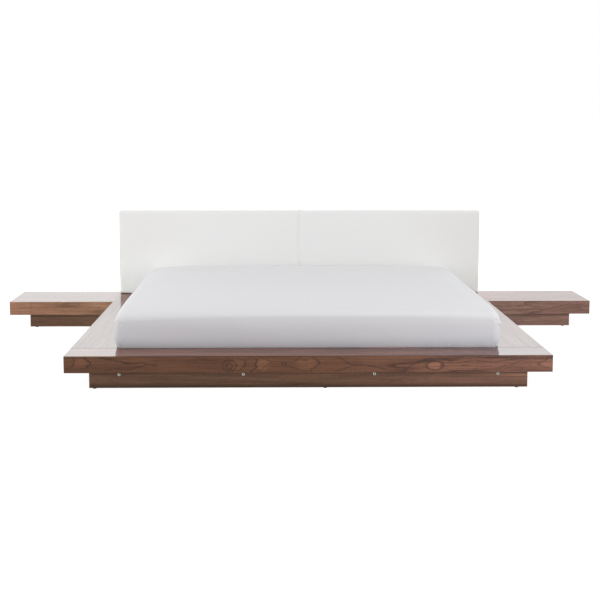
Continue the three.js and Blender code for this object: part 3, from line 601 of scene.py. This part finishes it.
def shares(fine_count, fine_step, coarse_step, length, dense=()):
    """Places from 0 to 1 along a side of that length: close together at its ends and at each dense
    place, given as its share and its reach in metres."""
    places = [0.0]
    while places[-1] < length:
        here = places[-1]
        away = min(here, length - here) - fine_count * fine_step
        for share, reach in dense:
            away = min(away, abs(here - share * length) - reach)
        step = fine_step + (coarse_step - fine_step) * min(max(away / 0.08, 0.0), 1.0)
        places.append(here + step)
    return np.array(places) / places[-1]


def corner_path(half_p, half_q, radius, across, along):
    """Points of a rounded rectangle, from the diagonal of its (-, -) corner round by the (+, -)
    corner. across and along are the shares at which its two kinds of side have their points."""
    arc = radius * math.pi / 4
    loop = []
    turns = ((across, half_p, half_q), (along, half_q, half_p)) * 2
    for quarter_turns, (places, half, other) in enumerate(turns):
        straight = 2 * (half - radius)
        run = places[:-1] * (straight + 2 * arc) - arc
        angle = (np.minimum(run, 0) + np.maximum(run - straight, 0)) / max(radius, 1e-6)
        p = np.clip(run, 0, straight) - straight / 2 + radius * np.sin(angle)
        q = -other + radius * (1 - np.cos(angle))
        for _ in range(quarter_turns):
            p, q = -q, p
        loop.append(np.stack([p, q], axis=1))
    return np.concatenate(loop)


def raised(path, height):
    """The points of a flat path at one height."""
    return np.column_stack([path, np.full(len(path), height)])


def crowned_slab(half_p, half_q, profile, radius_at, across, along):
    """A soft slab: a grid on its crown and rings from there down its sides. profile gives inset
    and height from the crown's border outwards. Returns points, faces and cloth coordinates, in
    the slab's own p, q and height."""
    columns, rows = len(across), len(along)
    margin = profile[0][0]
    inner = (across * 2 - 1) * (half_p - margin), (along * 2 - 1) * (half_q - margin)
    grid = np.stack([side.ravel() for side in np.meshgrid(*inner, indexing="ij")], axis=1)
    points = [raised(grid, profile[0][1])]
    cloth = [grid]
    number = np.arange(columns * rows).reshape(columns, rows)
    corners = number[:-1, :-1], number[1:, :-1], number[1:, 1:], number[:-1, 1:]
    faces = list(zip(*(corner.ravel() for corner in corners)))
    border = np.concatenate([number[:-1, 0], number[-1, :-1], number[:0:-1, -1], number[0, :0:-1]])
    outward = np.repeat(
        ((0.0, -1.0), (1.0, 0.0), (0.0, 1.0), (-1.0, 0.0)), (columns - 1, rows - 1) * 2, axis=0
    )
    previous = border
    travelled = 0.0
    total = columns * rows
    for (last_inset, last_height), (inset, height) in zip(profile, profile[1:]):
        path = corner_path(half_p - inset, half_q - inset, radius_at(inset), across, along)
        travelled += math.hypot(last_inset - inset, last_height - height)
        points.append(raised(path, height))
        cloth.append(grid[border] + outward * travelled)
        ring = np.arange(total, total + len(path))
        total += len(path)
        faces.extend(zip(previous, ring, np.roll(ring, -1), np.roll(previous, -1)))
        previous = ring
    return np.concatenate(points), faces, np.concatenate(cloth)


def mesh_piece(name, points, faces, cloth=None):
    mesh = bpy.data.meshes.new(name)
    mesh.from_pydata(points.tolist(), [], np.array(faces).tolist())
    if cloth is not None:
        layer = mesh.uv_layers.new(name="cloth")
        corners = np.zeros(len(mesh.loops), np.int32)
        mesh.loops.foreach_get("vertex_index", corners)
        layer.data.foreach_set("uv", cloth[corners].astype(np.float32).ravel())
    smooth_faces(mesh)
    mesh.update()
    return add_object(name, mesh)


def stand_for(piece, node, slot):
    """Puts a piece of the bed in the place of a CAD node, in the material with its slot's name."""
    piece.data.materials.append(MATERIALS[slot])
    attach(piece, "bed")
    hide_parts(node)


def soft_piece(name, form, slot, node, thickness=0.0):
    """A soft piece from its points, faces and cloth coordinates. It is a skin where it has a
    thickness."""
    piece = mesh_piece(name, *form)
    if thickness:
        shell = piece.modifiers.new("thickness", "SOLIDIFY")
        shell.thickness = thickness
        shell.offset = -1
    stand_for(piece, node, slot)


def copy_piece(name, node, slot, edge):
    """A copy of a CAD node with softened edges, shown in its place."""
    mesh = NODES[node].data.copy()
    mesh.name = name
    mesh.materials.clear()
    piece = add_object(name, mesh)
    soften(piece, edge)
    stand_for(piece, node, slot)


def quarter(steps):
    """The sine, and 1 minus the cosine, at even steps from 0 to 90 degrees."""
    angles = [i / steps * math.pi / 2 for i in range(steps + 1)]
    return [(math.sin(angle), 1 - math.cos(angle)) for angle in angles]


def smooth_noise(points, scales, seed):
    """Smooth noise from about -1 to 1 at each point, with its own scale along each axis."""
    scaled = points * np.array(scales) + seed
    return np.array([noise.noise(Vector(p)) for p in scaled])


def bell(distance, width):
    return np.exp(-((distance / width) ** 2))


def step(value, low, high):
    share = np.clip((value - low) / (high - low), 0, 1)
    return share * share * (3 - 2 * share)


# Mattress

MATTRESS_TOP = 0.342  # the middle of its crown
MATTRESS_CORNER = 0.030  # radius in plan
MATTRESS_MARGIN = 0.150  # from its sides to its crown's grid
MATTRESS_INSET = 0.012  # of its lower edge
MATTRESS_MIDDLE = (MATTRESS_REAR + RECESS_FRONT) / 2
MATTRESS_HALF = (MATTRESS_REAR - RECESS_FRONT) / 2
EAR_HEIGHT = 0.270
SEAM_LEAN = 0.013  # how far each corner seam lies from the corner's diagonal, on the ends
EAR_TURN = 0.008  # how far each ear lies from it, on the sides
EARS = {(-1, -1): 0.15, (1, -1): 0.85, (-1, 1): 0.35, (1, 1): 0.35}  # size of each corner's ear
SHOULDER_OUT = 0.030  # reach of the shoulder's rounding inwards from the recess's line
SHOULDER_DOWN = 0.040
# How far the sides stand out over the recess's line, from the surround up to the shoulder.
SIDE_PROFILE = ((0.0, -0.001), (0.15, 0.006), (0.45, 0.010), (0.75, 0.010), (1.0, 0.008))
# How far its top falls at each edge and corner, and how far its sides swell.
SIDE_FALL = 0.008
FRONT_FALL = 0.006
REAR_FALL = 0.012
CORNER_FALL = 0.010
LEFT_FALL = 0.008
REAR_CORNER_FALLS = (0.006, 0.001)  # left and right
REAR_CORNER_OUT = (0.014, 0.0)  # left and right
SIDE_SWELL = 0.002
FRONT_SWELL = 0.008
COVER_THICKNESS = 0.004
WALES = 850  # ribs of the knit in a metre of its width
COURSES = 1150  # rows of the knit in a metre of its length


def mattress_profile():
    """Inset and height from the crown's border to the rim."""
    crown = [(MATTRESS_MARGIN - i * CROWN_STEP, MATTRESS_TOP) for i in range(11)]
    reach = SHOULDER_OUT + SIDE_PROFILE[-1][1]
    shoulder = [
        (SHOULDER_OUT - reach * sine, MATTRESS_TOP - SHOULDER_DOWN * fall)
        for sine, fall in quarter(16)
    ]
    top = shoulder[-1][1]
    heights = np.linspace(top, DECK_TOP, 30)[1:]
    levels, bulges = zip(*SIDE_PROFILE)
    curve = np.poly1d(np.polyfit(levels, bulges, 4))
    side = [(-curve((height - DECK_TOP) / (top - DECK_TOP)), height) for height in heights]
    foot = [(0.006, DECK_TOP - 0.005)]
    foot += [(MATTRESS_INSET, height) for height in np.linspace(DECK_TOP - 0.016, ZIP_LEVEL, 6)]
    return crown + shoulder + side + foot


def settle(x, y, z, within=0.0):
    """Where the mattress's layers lie: the top falls towards each edge and most of all to its front
    corners, the sides swell in their middle, and the headboard keeps the rear flat. A layer inside
    the cover stays that far within its rear face."""
    u = np.clip(np.abs(x) / RECESS_HALF, 0, 1)
    v = np.clip((MATTRESS_MIDDLE - y) / MATTRESS_HALF, -1, 1)
    front, rear = np.maximum(v, 0), np.maximum(-v, 0)
    left = np.maximum(-x / RECESS_HALF, 0)
    upper = step(z, DECK_TOP, MATTRESS_TOP - SHOULDER_DOWN)
    fall = SIDE_FALL * u ** 3 + FRONT_FALL * front ** 8 + REAR_FALL * rear ** 4
    fall = fall + (CORNER_FALL * u ** 3 + LEFT_FALL * left ** 2) * front ** 6
    fall = fall + np.where(x < 0, *REAR_CORNER_FALLS) * u ** 6 * rear ** 2
    z = z - upper * fall
    wall = step(z, DECK_TOP, DECK_TOP + 0.05) * step(MATTRESS_TOP - z, 0.0, 0.035)
    swell = SIDE_SWELL * wall * (1 - np.abs(v) ** 4)
    wall = step(z, DECK_TOP, DECK_TOP + 0.08)
    swell = swell + np.where(x < 0, *REAR_CORNER_OUT) * rear ** 10 * wall
    x = x + np.sign(x) * step(u, 0.9, 1.0) * swell
    wall = step(z, DECK_TOP - 0.02, DECK_TOP + 0.11) * step(MATTRESS_TOP - z, 0.0, 0.035)
    y = y - step(front, 0.94, 1.0) * FRONT_SWELL * wall * (1 - u ** 2)
    return x, np.minimum(y, MATTRESS_REAR + 0.001 - within), z


def corner_at(x, y, sign_x, sign_y):
    """Each point's place round a corner of the mattress, its direction outwards, which is only
    sideways at the headboard, and whether it is near."""
    off_x = (x - sign_x * (RECESS_HALF - MATTRESS_CORNER)) * sign_x
    off_y = (y - MATTRESS_MIDDLE - sign_y * (MATTRESS_HALF - MATTRESS_CORNER)) * sign_y
    radius = np.maximum(np.hypot(off_x, off_y), 1e-6)
    near = (off_x > -0.02) & (off_y > -0.02)
    around = (np.arctan2(off_x, off_y) - math.pi / 4) * MATTRESS_CORNER
    out_x = np.where(near, off_x / radius, 0) * sign_x
    out_y = np.where(near & (sign_y < 0), off_y / radius, 0) * sign_y
    return around, out_x, out_y, near


def sew_corners(x, y, z):
    """Corner seams, each ending at its top in a small ear of spare cloth with a crease under it."""
    for (sign_x, sign_y), size in EARS.items():
        around, out_x, out_y, near = corner_at(x, y, sign_x, sign_y)
        turn = around + SEAM_LEAN
        seam = bell(turn, 0.0024) * step(EAR_HEIGHT - z, -0.012, 0.004)
        ear = bell(around - EAR_TURN, 0.009) * bell(z - EAR_HEIGHT, 0.0065)
        # A fold runs from the seam's top down to the ear, and cloth is pulled in along it.
        share = np.clip(turn / (SEAM_LEAN + EAR_TURN), 0, 1)
        line = EAR_HEIGHT - 0.004 + 0.020 * (1 - share)
        away = np.hypot(z - line, turn - share * (SEAM_LEAN + EAR_TURN))
        fold = bell(away, 0.0034)
        # Beside the seam the cloth puckers once, and at the seam's foot it is drawn in.
        pucker = bell(turn + 0.004, 0.0032) * bell(z - EAR_HEIGHT - 0.004, 0.008)
        foot = bell(turn, 0.0035) * bell(z - DECK_TOP - 0.010, 0.009)
        push = size * (0.0160 * ear - 0.0048 * fold) - 0.0012 * seam - 0.0030 * foot
        push = push - 0.0042 * pucker * (1 - size)
        x = x + out_x * push
        y = y + out_y * push
        z = z - 0.004 * ear * near * size
    return x, y, z


def crease_cover(x, y, z):
    """Slack and pull in the cloth: faint waves, and gathers along its lower edge."""
    place = np.stack([x, y, z], axis=1)
    top_zone = step(z, MATTRESS_TOP - 0.045, MATTRESS_TOP - 0.015)
    z = z + top_zone * (
        0.0016 * smooth_noise(place, (0.9, 3.2, 0.0), 3.0)
        + 0.0007 * smooth_noise(place, (2.6, 11.0, 0.0), 7.0)
    )
    front = step(-(y - MATTRESS_MIDDLE) / MATTRESS_HALF, 0.985, 1.0) * (1 - top_zone)
    y = y - front * 0.0022 * smooth_noise(place, (2.4, 0.0, 9.0), 11.0)
    gathers = bell(z - DECK_TOP, 0.020) * step(x, 0.2, 0.6) + 0.35 * bell(z - DECK_TOP, 0.014)
    y = y - front * gathers * 0.0011 * smooth_noise(place, (75.0, 0.0, 9.0), 5.0)
    return x, y, z


def mattress_radius(inset):
    return MATTRESS_CORNER * max(1 - max(inset, 0) / MATTRESS_MARGIN, 0) + max(-inset, 0)


def mattress_slab(profile, radius_at, across, along):
    return crowned_slab(RECESS_HALF, MATTRESS_HALF, profile, radius_at, across, along)


def make_mattress():
    across = shares(22, 0.003, 0.014, 2 * RECESS_HALF, dense=((0.85, 0.22),))
    along = shares(22, 0.003, 0.018, 2 * MATTRESS_HALF)
    profile = mattress_profile()
    points, faces, cloth = mattress_slab(profile, mattress_radius, across, along)
    x, y, z = points.T
    x, y, z = settle(x, y + MATTRESS_MIDDLE, z)
    x, y, z = crease_cover(x, y, z)
    form = np.stack(sew_corners(x, y, z), axis=1), faces, cloth
    soft_piece("mattress", form, "jersey", "mattress_cover_top", COVER_THICKNESS)


# Layers inside the mattress

FOAM_GAP = 0.006  # between the cover's outside and the foam
FOAM_TOP = MATTRESS_TOP - FOAM_GAP
FOAM_TOP_WIDTH = 0.095
FOAM_FOOT_WIDTH = 0.140
FOAM_FOOT = 0.0987  # the level of that width
FOAM_LOW = 0.0995  # its underside
LINER_TOP = 0.326
LINER_LOW = 0.1025
LINER_MARGIN = 0.26
LINER_THICKNESS = 0.0008
CORE_TOP = MATTRESS_TOP - 0.009
CORE_LOW = 0.1040
CORE_MARGIN = 0.40
CORE_GAP = 0.003  # between the foam's inner wall and the core
CORE_SHOULDER_OUT = 0.045
CORE_SHOULDER_DOWN = 0.03
CORE_FOOT_RADIUS = 0.02
LAYER_CORNER = 0.03  # radius in plan
VALVE_Y = RECESS_FRONT + 0.440
POCKET_RADIUS = 0.044
POCKET_FLOOR = 0.318


def foam_inset(height):
    """Inset of the foam's inner wall, which leans outwards from its foot."""
    share = (height - FOAM_FOOT) / (FOAM_TOP - FOAM_FOOT)
    foot = MATTRESS_INSET + FOAM_GAP + FOAM_FOOT_WIDTH
    return foot + (SHOULDER_OUT + FOAM_TOP_WIDTH - foot) * share


def core_inset(height):
    return foam_inset(height) + CORE_GAP


def core_radius(inset):
    return max(LAYER_CORNER - max(inset - 0.2, 0), 0.004)


def ring_piece(profile):
    """A closed body through rings of the mattress's outline, whose last ring joins its first."""
    places = shares(6, 0.01, 0.03, 2 * RECESS_HALF)
    rings = [
        corner_path(RECESS_HALF - inset, MATTRESS_HALF - inset, LAYER_CORNER, places, places)
        for inset, _ in profile
    ]
    points = np.concatenate([raised(ring, height) for ring, (_, height) in zip(rings, profile)])
    number = np.arange(len(points)).reshape(len(profile), -1)
    faces = []
    for here, there in zip(number, np.roll(number, -1, axis=0)):
        faces.extend(zip(here, np.roll(here, -1), np.roll(there, -1), there))
    return points, faces


def settled(points):
    x, y, z = points.T
    return np.stack(settle(x, y + MATTRESS_MIDDLE, z, FOAM_GAP), axis=1)


def make_foam():
    """The foam frame: its outside follows the cover, and its inner wall leans outwards."""
    wall = MATTRESS_INSET + FOAM_GAP
    cover = [point for point in mattress_profile()[::-1] if point[0] < SHOULDER_OUT]
    outside = [(wall + 0.004, FOAM_LOW), (wall, FOAM_LOW + 0.004)]
    for inset, height in cover[::2]:
        rise = max(height - (MATTRESS_TOP - SHOULDER_DOWN), 0) / SHOULDER_DOWN
        outside.append((inset + FOAM_GAP * (1 - rise ** 2), height - FOAM_GAP * rise ** 2))
    top = [(SHOULDER_OUT + FOAM_TOP_WIDTH * i / 6, FOAM_TOP) for i in range(7)]
    inside = [
        (foam_inset(height) - 0.001, height)
        for height in np.linspace(FOAM_TOP - 0.003, FOAM_LOW + 0.003, 9)
    ]
    points, faces = ring_piece(outside + top + inside)
    soft_piece("foam_sides", (settled(points), faces), "pale_foam", "foam_frame")


def make_liner():
    """A thin tray in the foam, with its upper edge laid over outwards a little."""
    profile = [(LINER_MARGIN - i * 0.012, LINER_LOW) for i in range(6)]
    profile.append((foam_inset(LINER_LOW) + 0.004, LINER_LOW + 0.001))
    for height in np.linspace(LINER_LOW + 0.006, LINER_TOP, 12):
        profile.append((foam_inset(height) + 0.0012, height))
    across = shares(8, 0.01, 0.03, 2 * RECESS_HALF)
    points, faces, cloth = mattress_slab(profile, lambda inset: LAYER_CORNER, across, across)
    form = settled(points), [face[::-1] for face in faces], cloth
    soft_piece("liner", form, "liner_vinyl", "safety_liner", LINER_THICKNESS)


def make_core():
    """The water bag: a welded vinyl skin with a pocket for its valve in the top."""
    edge = core_inset(CORE_TOP - CORE_SHOULDER_DOWN)
    profile = [(CORE_MARGIN - i * 0.02, CORE_TOP) for i in range(10)]
    for sine, fall in quarter(8):
        inset = edge + CORE_SHOULDER_OUT * (1 - sine)
        profile.append((inset, CORE_TOP - CORE_SHOULDER_DOWN * fall))
    for down in (0.034, 0.038):  # the weld stands out
        height = CORE_TOP - down
        profile.append((core_inset(height) - 0.0015, height))
    for height in np.linspace(CORE_TOP - 0.044, CORE_LOW + CORE_FOOT_RADIUS, 12):
        profile.append((core_inset(height), height))
    for sine, fall in quarter(6)[1:]:
        inset = core_inset(CORE_LOW) + CORE_FOOT_RADIUS * fall
        profile.append((inset, CORE_LOW + CORE_FOOT_RADIUS * (1 - sine)))
    profile += [(0.19 + i * 0.03, CORE_LOW) for i in range(4)]
    share = 0.5 + (VALVE_Y - MATTRESS_MIDDLE) / (2 * MATTRESS_HALF)
    across = shares(8, 0.008, 0.03, 2 * RECESS_HALF, dense=((0.5, 0.06),))
    along = shares(8, 0.008, 0.03, 2 * MATTRESS_HALF, dense=((share, 0.06),))
    points, faces, cloth = mattress_slab(profile, core_radius, across, along)
    x, y, z = points.T
    waves = 0.0012 * smooth_noise(points, (5.0, 5.0, 0.0), 1.0)
    z = z + waves * (z > CORE_TOP - 0.01)
    away = np.hypot(x, y + MATTRESS_MIDDLE - VALVE_Y)
    pocket = 1 - step(away, POCKET_RADIUS - 0.008, POCKET_RADIUS + 0.004)
    z = np.where(z > 0.25, z - pocket * (z - POCKET_FLOOR + 0.006), z)
    form = settled(np.stack([x, y, z], axis=1)), faces, cloth
    soft_piece("water_bag", form, "core_vinyl", "water_core")


# Headboard

PANEL_EDGE = 0.011  # radius round its face
PANEL_CORNER = 0.010  # radius of its four corners
PANEL_MARGIN = 0.060  # from its sides to its crown's grid
PANEL_DEPTH = HEADBOARD_REAR - HEADBOARD_FRONT
PANEL_HALF_HEIGHT = (HEADBOARD_HIGH - HEADBOARD_LOW) / 2
BOARD_THICKNESS = 0.018
SKIN = 0.0015  # thickness of its cover
SEAM_X = -0.004


def panel_profile(inset, face, low):
    """Inset and depth pairs from the padding's face to its rear edge."""
    profile = [(PANEL_MARGIN - i * CROWN_STEP, face) for i in range(5)]
    for sine, fall in quarter(8):
        profile.append((inset + PANEL_EDGE * (1 - sine), face - PANEL_EDGE * fall))
    edge = face - PANEL_EDGE
    return profile + [(inset, edge + (low - face + PANEL_EDGE) * i / 6) for i in range(1, 7)]


def panel_relief(p, q, h):
    """Each half of the padding swells a little, and the seam and the edges hold it in."""
    face = step(h, PANEL_DEPTH - 0.02, PANEL_DEPTH)
    u = np.clip(np.abs(p - SEAM_X) / HEADBOARD_HALF, 0, 1)
    v = np.clip(np.abs(q) / PANEL_HALF_HEIGHT, 0, 1)
    seam = np.abs(p - SEAM_X)
    dip = 0.0030 * bell(seam, 0.0024) + 0.0012 * bell(seam, 0.010)
    place = np.stack([p, q, h], axis=1)
    puckers = 0.0006 * bell(seam, 0.02) * smooth_noise(place, (40.0, 120.0, 0.0), 2.0)
    swell = 0.0022 * (1 - (2 * u - 1) ** 8) * (1 - v ** 6) - 0.0022
    waves = 0.0007 * smooth_noise(place, (1.6, 4.0, 0.0), 9.0)
    h = h + face * (swell + waves - dip - puckers)
    held = np.where(v > 0.97, dip, 0) * step(h, 0.004, 0.012)
    return p, q - np.sign(q) * held, h


def panel_radius(inset):
    return PANEL_CORNER * max(1 - inset / PANEL_MARGIN, 0.0)


def panel_form(profile, across, along, relief):
    """A slab of the headboard's size, stood up in its place."""
    points, faces, cloth = crowned_slab(
        HEADBOARD_HALF, PANEL_HALF_HEIGHT, profile, panel_radius, across, along
    )
    p, q, h = points.T
    if relief:
        p, q, h = panel_relief(p, q, h)
    middle_z = (HEADBOARD_HIGH + HEADBOARD_LOW) / 2
    return np.stack([p, HEADBOARD_REAR - h, q + middle_z], axis=1), faces, cloth


def make_headboard():
    """One sewn cover over foam, with a seam down its middle and its hem turned onto the back."""
    middle = 0.5 + SEAM_X / 2 / HEADBOARD_HALF
    profile = panel_profile(0.0, PANEL_DEPTH, 0.003)
    form = panel_form(
        profile + [(0.0006, 0.001), (0.002, 0.0)],
        shares(16, 0.003, 0.018, 2 * HEADBOARD_HALF, dense=((middle, 0.02),)),
        shares(16, 0.003, 0.014, 2 * PANEL_HALF_HEIGHT),
        relief=True,
    )
    soft_piece("headboard", form, "leatherette", "headboard_cover", SKIN)
    rear = BOARD_THICKNESS + 0.0005
    profile = panel_profile(0.003, PANEL_DEPTH - 0.007, rear)
    form = panel_form(
        profile + [(0.008 + i * 0.01, rear) for i in range(3)],
        shares(4, 0.01, 0.03, 2 * HEADBOARD_HALF),
        shares(4, 0.01, 0.03, 2 * PANEL_HALF_HEIGHT),
        relief=False,
    )
    soft_piece("headboard_padding", form, "pale_foam", "headboard_foam")


# CAD nodes that stay


def dress_nodes():
    """Gives the nodes their materials and softened edges. The edges' widths are in metres."""
    panel, plinth, raw = 0.0014, 0.0008, 0.0006
    groups = (
        ("front_fascia", "walnut_fascia", panel),
        ("left_fascia right_fascia", "walnut_side_fascia", panel),
        ("front_deck_panel", "walnut_deck_front", panel),
        ("left_deck_panel right_deck_panel", "walnut_deck_sides", panel),
        ("left_table_front_fascia", "walnut_table_left", panel),
        ("right_table_front_fascia", "walnut_table_right", panel),
        ("left_table_top", "walnut_table_top_left", panel),
        ("right_table_top", "walnut_table_top_right", panel),
        ("*_table_end_fascia", "walnut_table_end", panel),
        ("plinth_front plinth_rear front_inner_rail rear_rail", "walnut_plinth", plinth),
        ("plinth_left plinth_right *_table_plinth_end", "walnut_plinth_sides", plinth),
        ("left_inner_rail right_inner_rail", "walnut_plinth_sides", plinth),
        ("*_table_plinth_front", "walnut_table_plinth", plinth),
        ("rib_* platform_board_* headboard_board", "chipboard", raw),
        ("headboard_post_*", "softwood", 0.002),
        ("plinth_bolt_*", "zinc_steel", 0.0004),
        ("zip_slider", "zinc_steel", 0.0005),
        ("bed_foot_* *_table_foot_*", "foot_plastic", 0.0),
        ("heater_control", "control_plastic", 0.0012),
        ("control_dial valve_cap", "dark_plastic", 0.0007),
        ("heater_lead", "lead_rubber", 0.0),
    )
    for patterns, material, edge in groups:
        for pattern in patterns.split():
            for name in fnmatch.filter(NODES, pattern):
                piece = NODES[name]
                piece.data.materials.clear()
                piece.data.materials.append(MATERIALS[material])
                if edge:
                    soften(piece, edge)
                else:
                    smooth_faces(piece.data)


# Camera and stage

FLOOR_REACH = 40.0
FLOOR_LEVEL = -0.0004  # a hair below the feet
FLOOR_COLOR = (0.86, 0.86, 0.86)  # as the object is lit by it
FLOOR_SHADE = (0.30, 0.30, 0.30)  # as the camera sees it, with its glow
FLOOR_GLOW = 0.90
WORLD_LIGHT = 0.775  # on the object. What the camera, gloss and glass show has 1.
KEY_POWER = 35.0
TOP_POWER = 10.0
SIDE_POWERS = (22.0, 5.0)  # left and right
CORNER_POWERS = (0.32, 0.26)  # two narrow lamps on the headboard's lower corners
CORNER_TINT = (0.80, 1.0, 0.97)
CORNER_SPREAD = math.radians(9)
BACKDROP_SIZE = (14.0, 2.2)
BACKDROP_HEIGHT = 1.35  # of its middle
BACKDROP_TINT = (0.9, 1.0, 1.02)
BACKDROP_GLOW = 1.24


def aim(thing, place, direction, roll=Quaternion()):
    thing.location = place
    thing.rotation_mode = "QUATERNION"
    thing.rotation_quaternion = direction.to_track_quat("-Z", "Y") @ roll


def make_camera():
    data = bpy.data.cameras.new("camera")
    data.lens = CAMERA_LENS
    data.sensor_width = 36
    data.clip_end = 100
    camera = add_object("camera", data)
    forward = Vector((
        math.sin(CAMERA_YAW) * math.cos(CAMERA_PITCH),
        math.cos(CAMERA_YAW) * math.cos(CAMERA_PITCH),
        math.sin(CAMERA_PITCH),
    ))
    roll = Quaternion((math.cos(CAMERA_ROLL / 2), 0, 0, math.sin(CAMERA_ROLL / 2)))
    aim(camera, CAMERA_PLACE, forward, roll)
    bpy.context.scene.camera = camera
    bpy.context.scene.view_settings.view_transform = "Standard"


def make_floor():
    """A pale floor that keeps the object's shadow. It glows for the camera alone."""
    mesh = bpy.data.meshes.new("floor")
    corners = ((-1, -1), (1, -1), (1, 1), (-1, 1))
    points = [(x * FLOOR_REACH, y * FLOOR_REACH, FLOOR_LEVEL) for x, y in corners]
    mesh.from_pydata(points, [], [(0, 1, 2, 3)])
    floor = add_object("floor", mesh)
    material = bpy.data.materials.new("floor")
    mesh.materials.append(material)
    nodes = NodeTree(material)
    plain = nodes.node("BsdfDiffuse", FLOOR_COLOR).outputs[0]
    shade = nodes.node("BsdfDiffuse", FLOOR_SHADE).outputs[0]
    glow = nodes.node("Emission", (1.0, 1.0, 1.0), FLOOR_GLOW).outputs[0]
    shown = nodes.node("AddShader", shade, glow).outputs[0]
    seen = nodes.node("LightPath").outputs["Is Camera Ray"]
    nodes.node("OutputMaterial", nodes.node("MixShader", seen, plain, shown).outputs[0])


def make_world():
    world = bpy.data.worlds.new("studio")
    bpy.context.scene.world = world
    nodes = NodeTree(world)
    path = nodes.node("LightPath").outputs
    seen = nodes.math("MAXIMUM", path["Is Camera Ray"], path["Is Glossy Ray"])
    seen = nodes.math("MAXIMUM", seen, path["Is Transmission Ray"])
    strength = nodes.range(seen, 0.0, 1.0, WORLD_LIGHT, 1.0)
    nodes.node("OutputWorld", nodes.node("Background", (1.0, 1.0, 1.0), strength).outputs[0])


def area_light(name, place, target, size, power, tint=(1, 1, 1)):
    data = bpy.data.lights.new(name, "AREA")
    data.shape = "RECTANGLE"
    data.size, data.size_y = size
    data.energy = power
    data.color = tint
    light = add_object(name, data)
    aim(light, place, Vector(target) - Vector(place))
    light.visible_camera = False
    light.visible_glossy = False
    return light


def make_lamps():
    area_light("key", (3.2, -3.4, 1.3), (0.2, -0.9, 0.25), (1.6, 1.2), KEY_POWER)
    area_light("top", (0, -0.6, 4.6), (0, 0.0, 0.3), (5.0, 5.0), TOP_POWER)
    for side, power in zip((-1, 1), SIDE_POWERS):
        place, target = (3.2 * side, -0.7, 0.95), (0.9 * side, 1.06, 0.35)
        area_light("side", place, target, (1.2, 1.2), power)
    for side, power in zip((-1, 1), CORNER_POWERS):
        place, target = (1.75 * side, -4.2, 1.3), (1.05 * side, HEADBOARD_FRONT, 0.02)
        light = area_light("corner", place, target, (0.4, 0.4), power, CORNER_TINT)
        light.data.spread = CORNER_SPREAD
    # A bright strip of the backdrop, low behind the bed, that its lacquered tops mirror.
    width, height = BACKDROP_SIZE
    power = BACKDROP_GLOW * math.pi * width * height
    place, target = (0, 7.0, BACKDROP_HEIGHT), (0, 0, BACKDROP_HEIGHT)
    strip = area_light("backdrop", place, target, BACKDROP_SIZE, power, BACKDROP_TINT)
    strip.visible_glossy = True


make_camera()
make_floor()
make_world()
make_lamps()
make_materials()
dress_nodes()
make_mattress()
copy_piece("cover_base", "mattress_cover_base", "jersey", 0.0006)
make_foam()
make_liner()
make_core()
copy_piece("heater_mat", "heater_pad", "heater_film", 0.0004)
make_headboard()
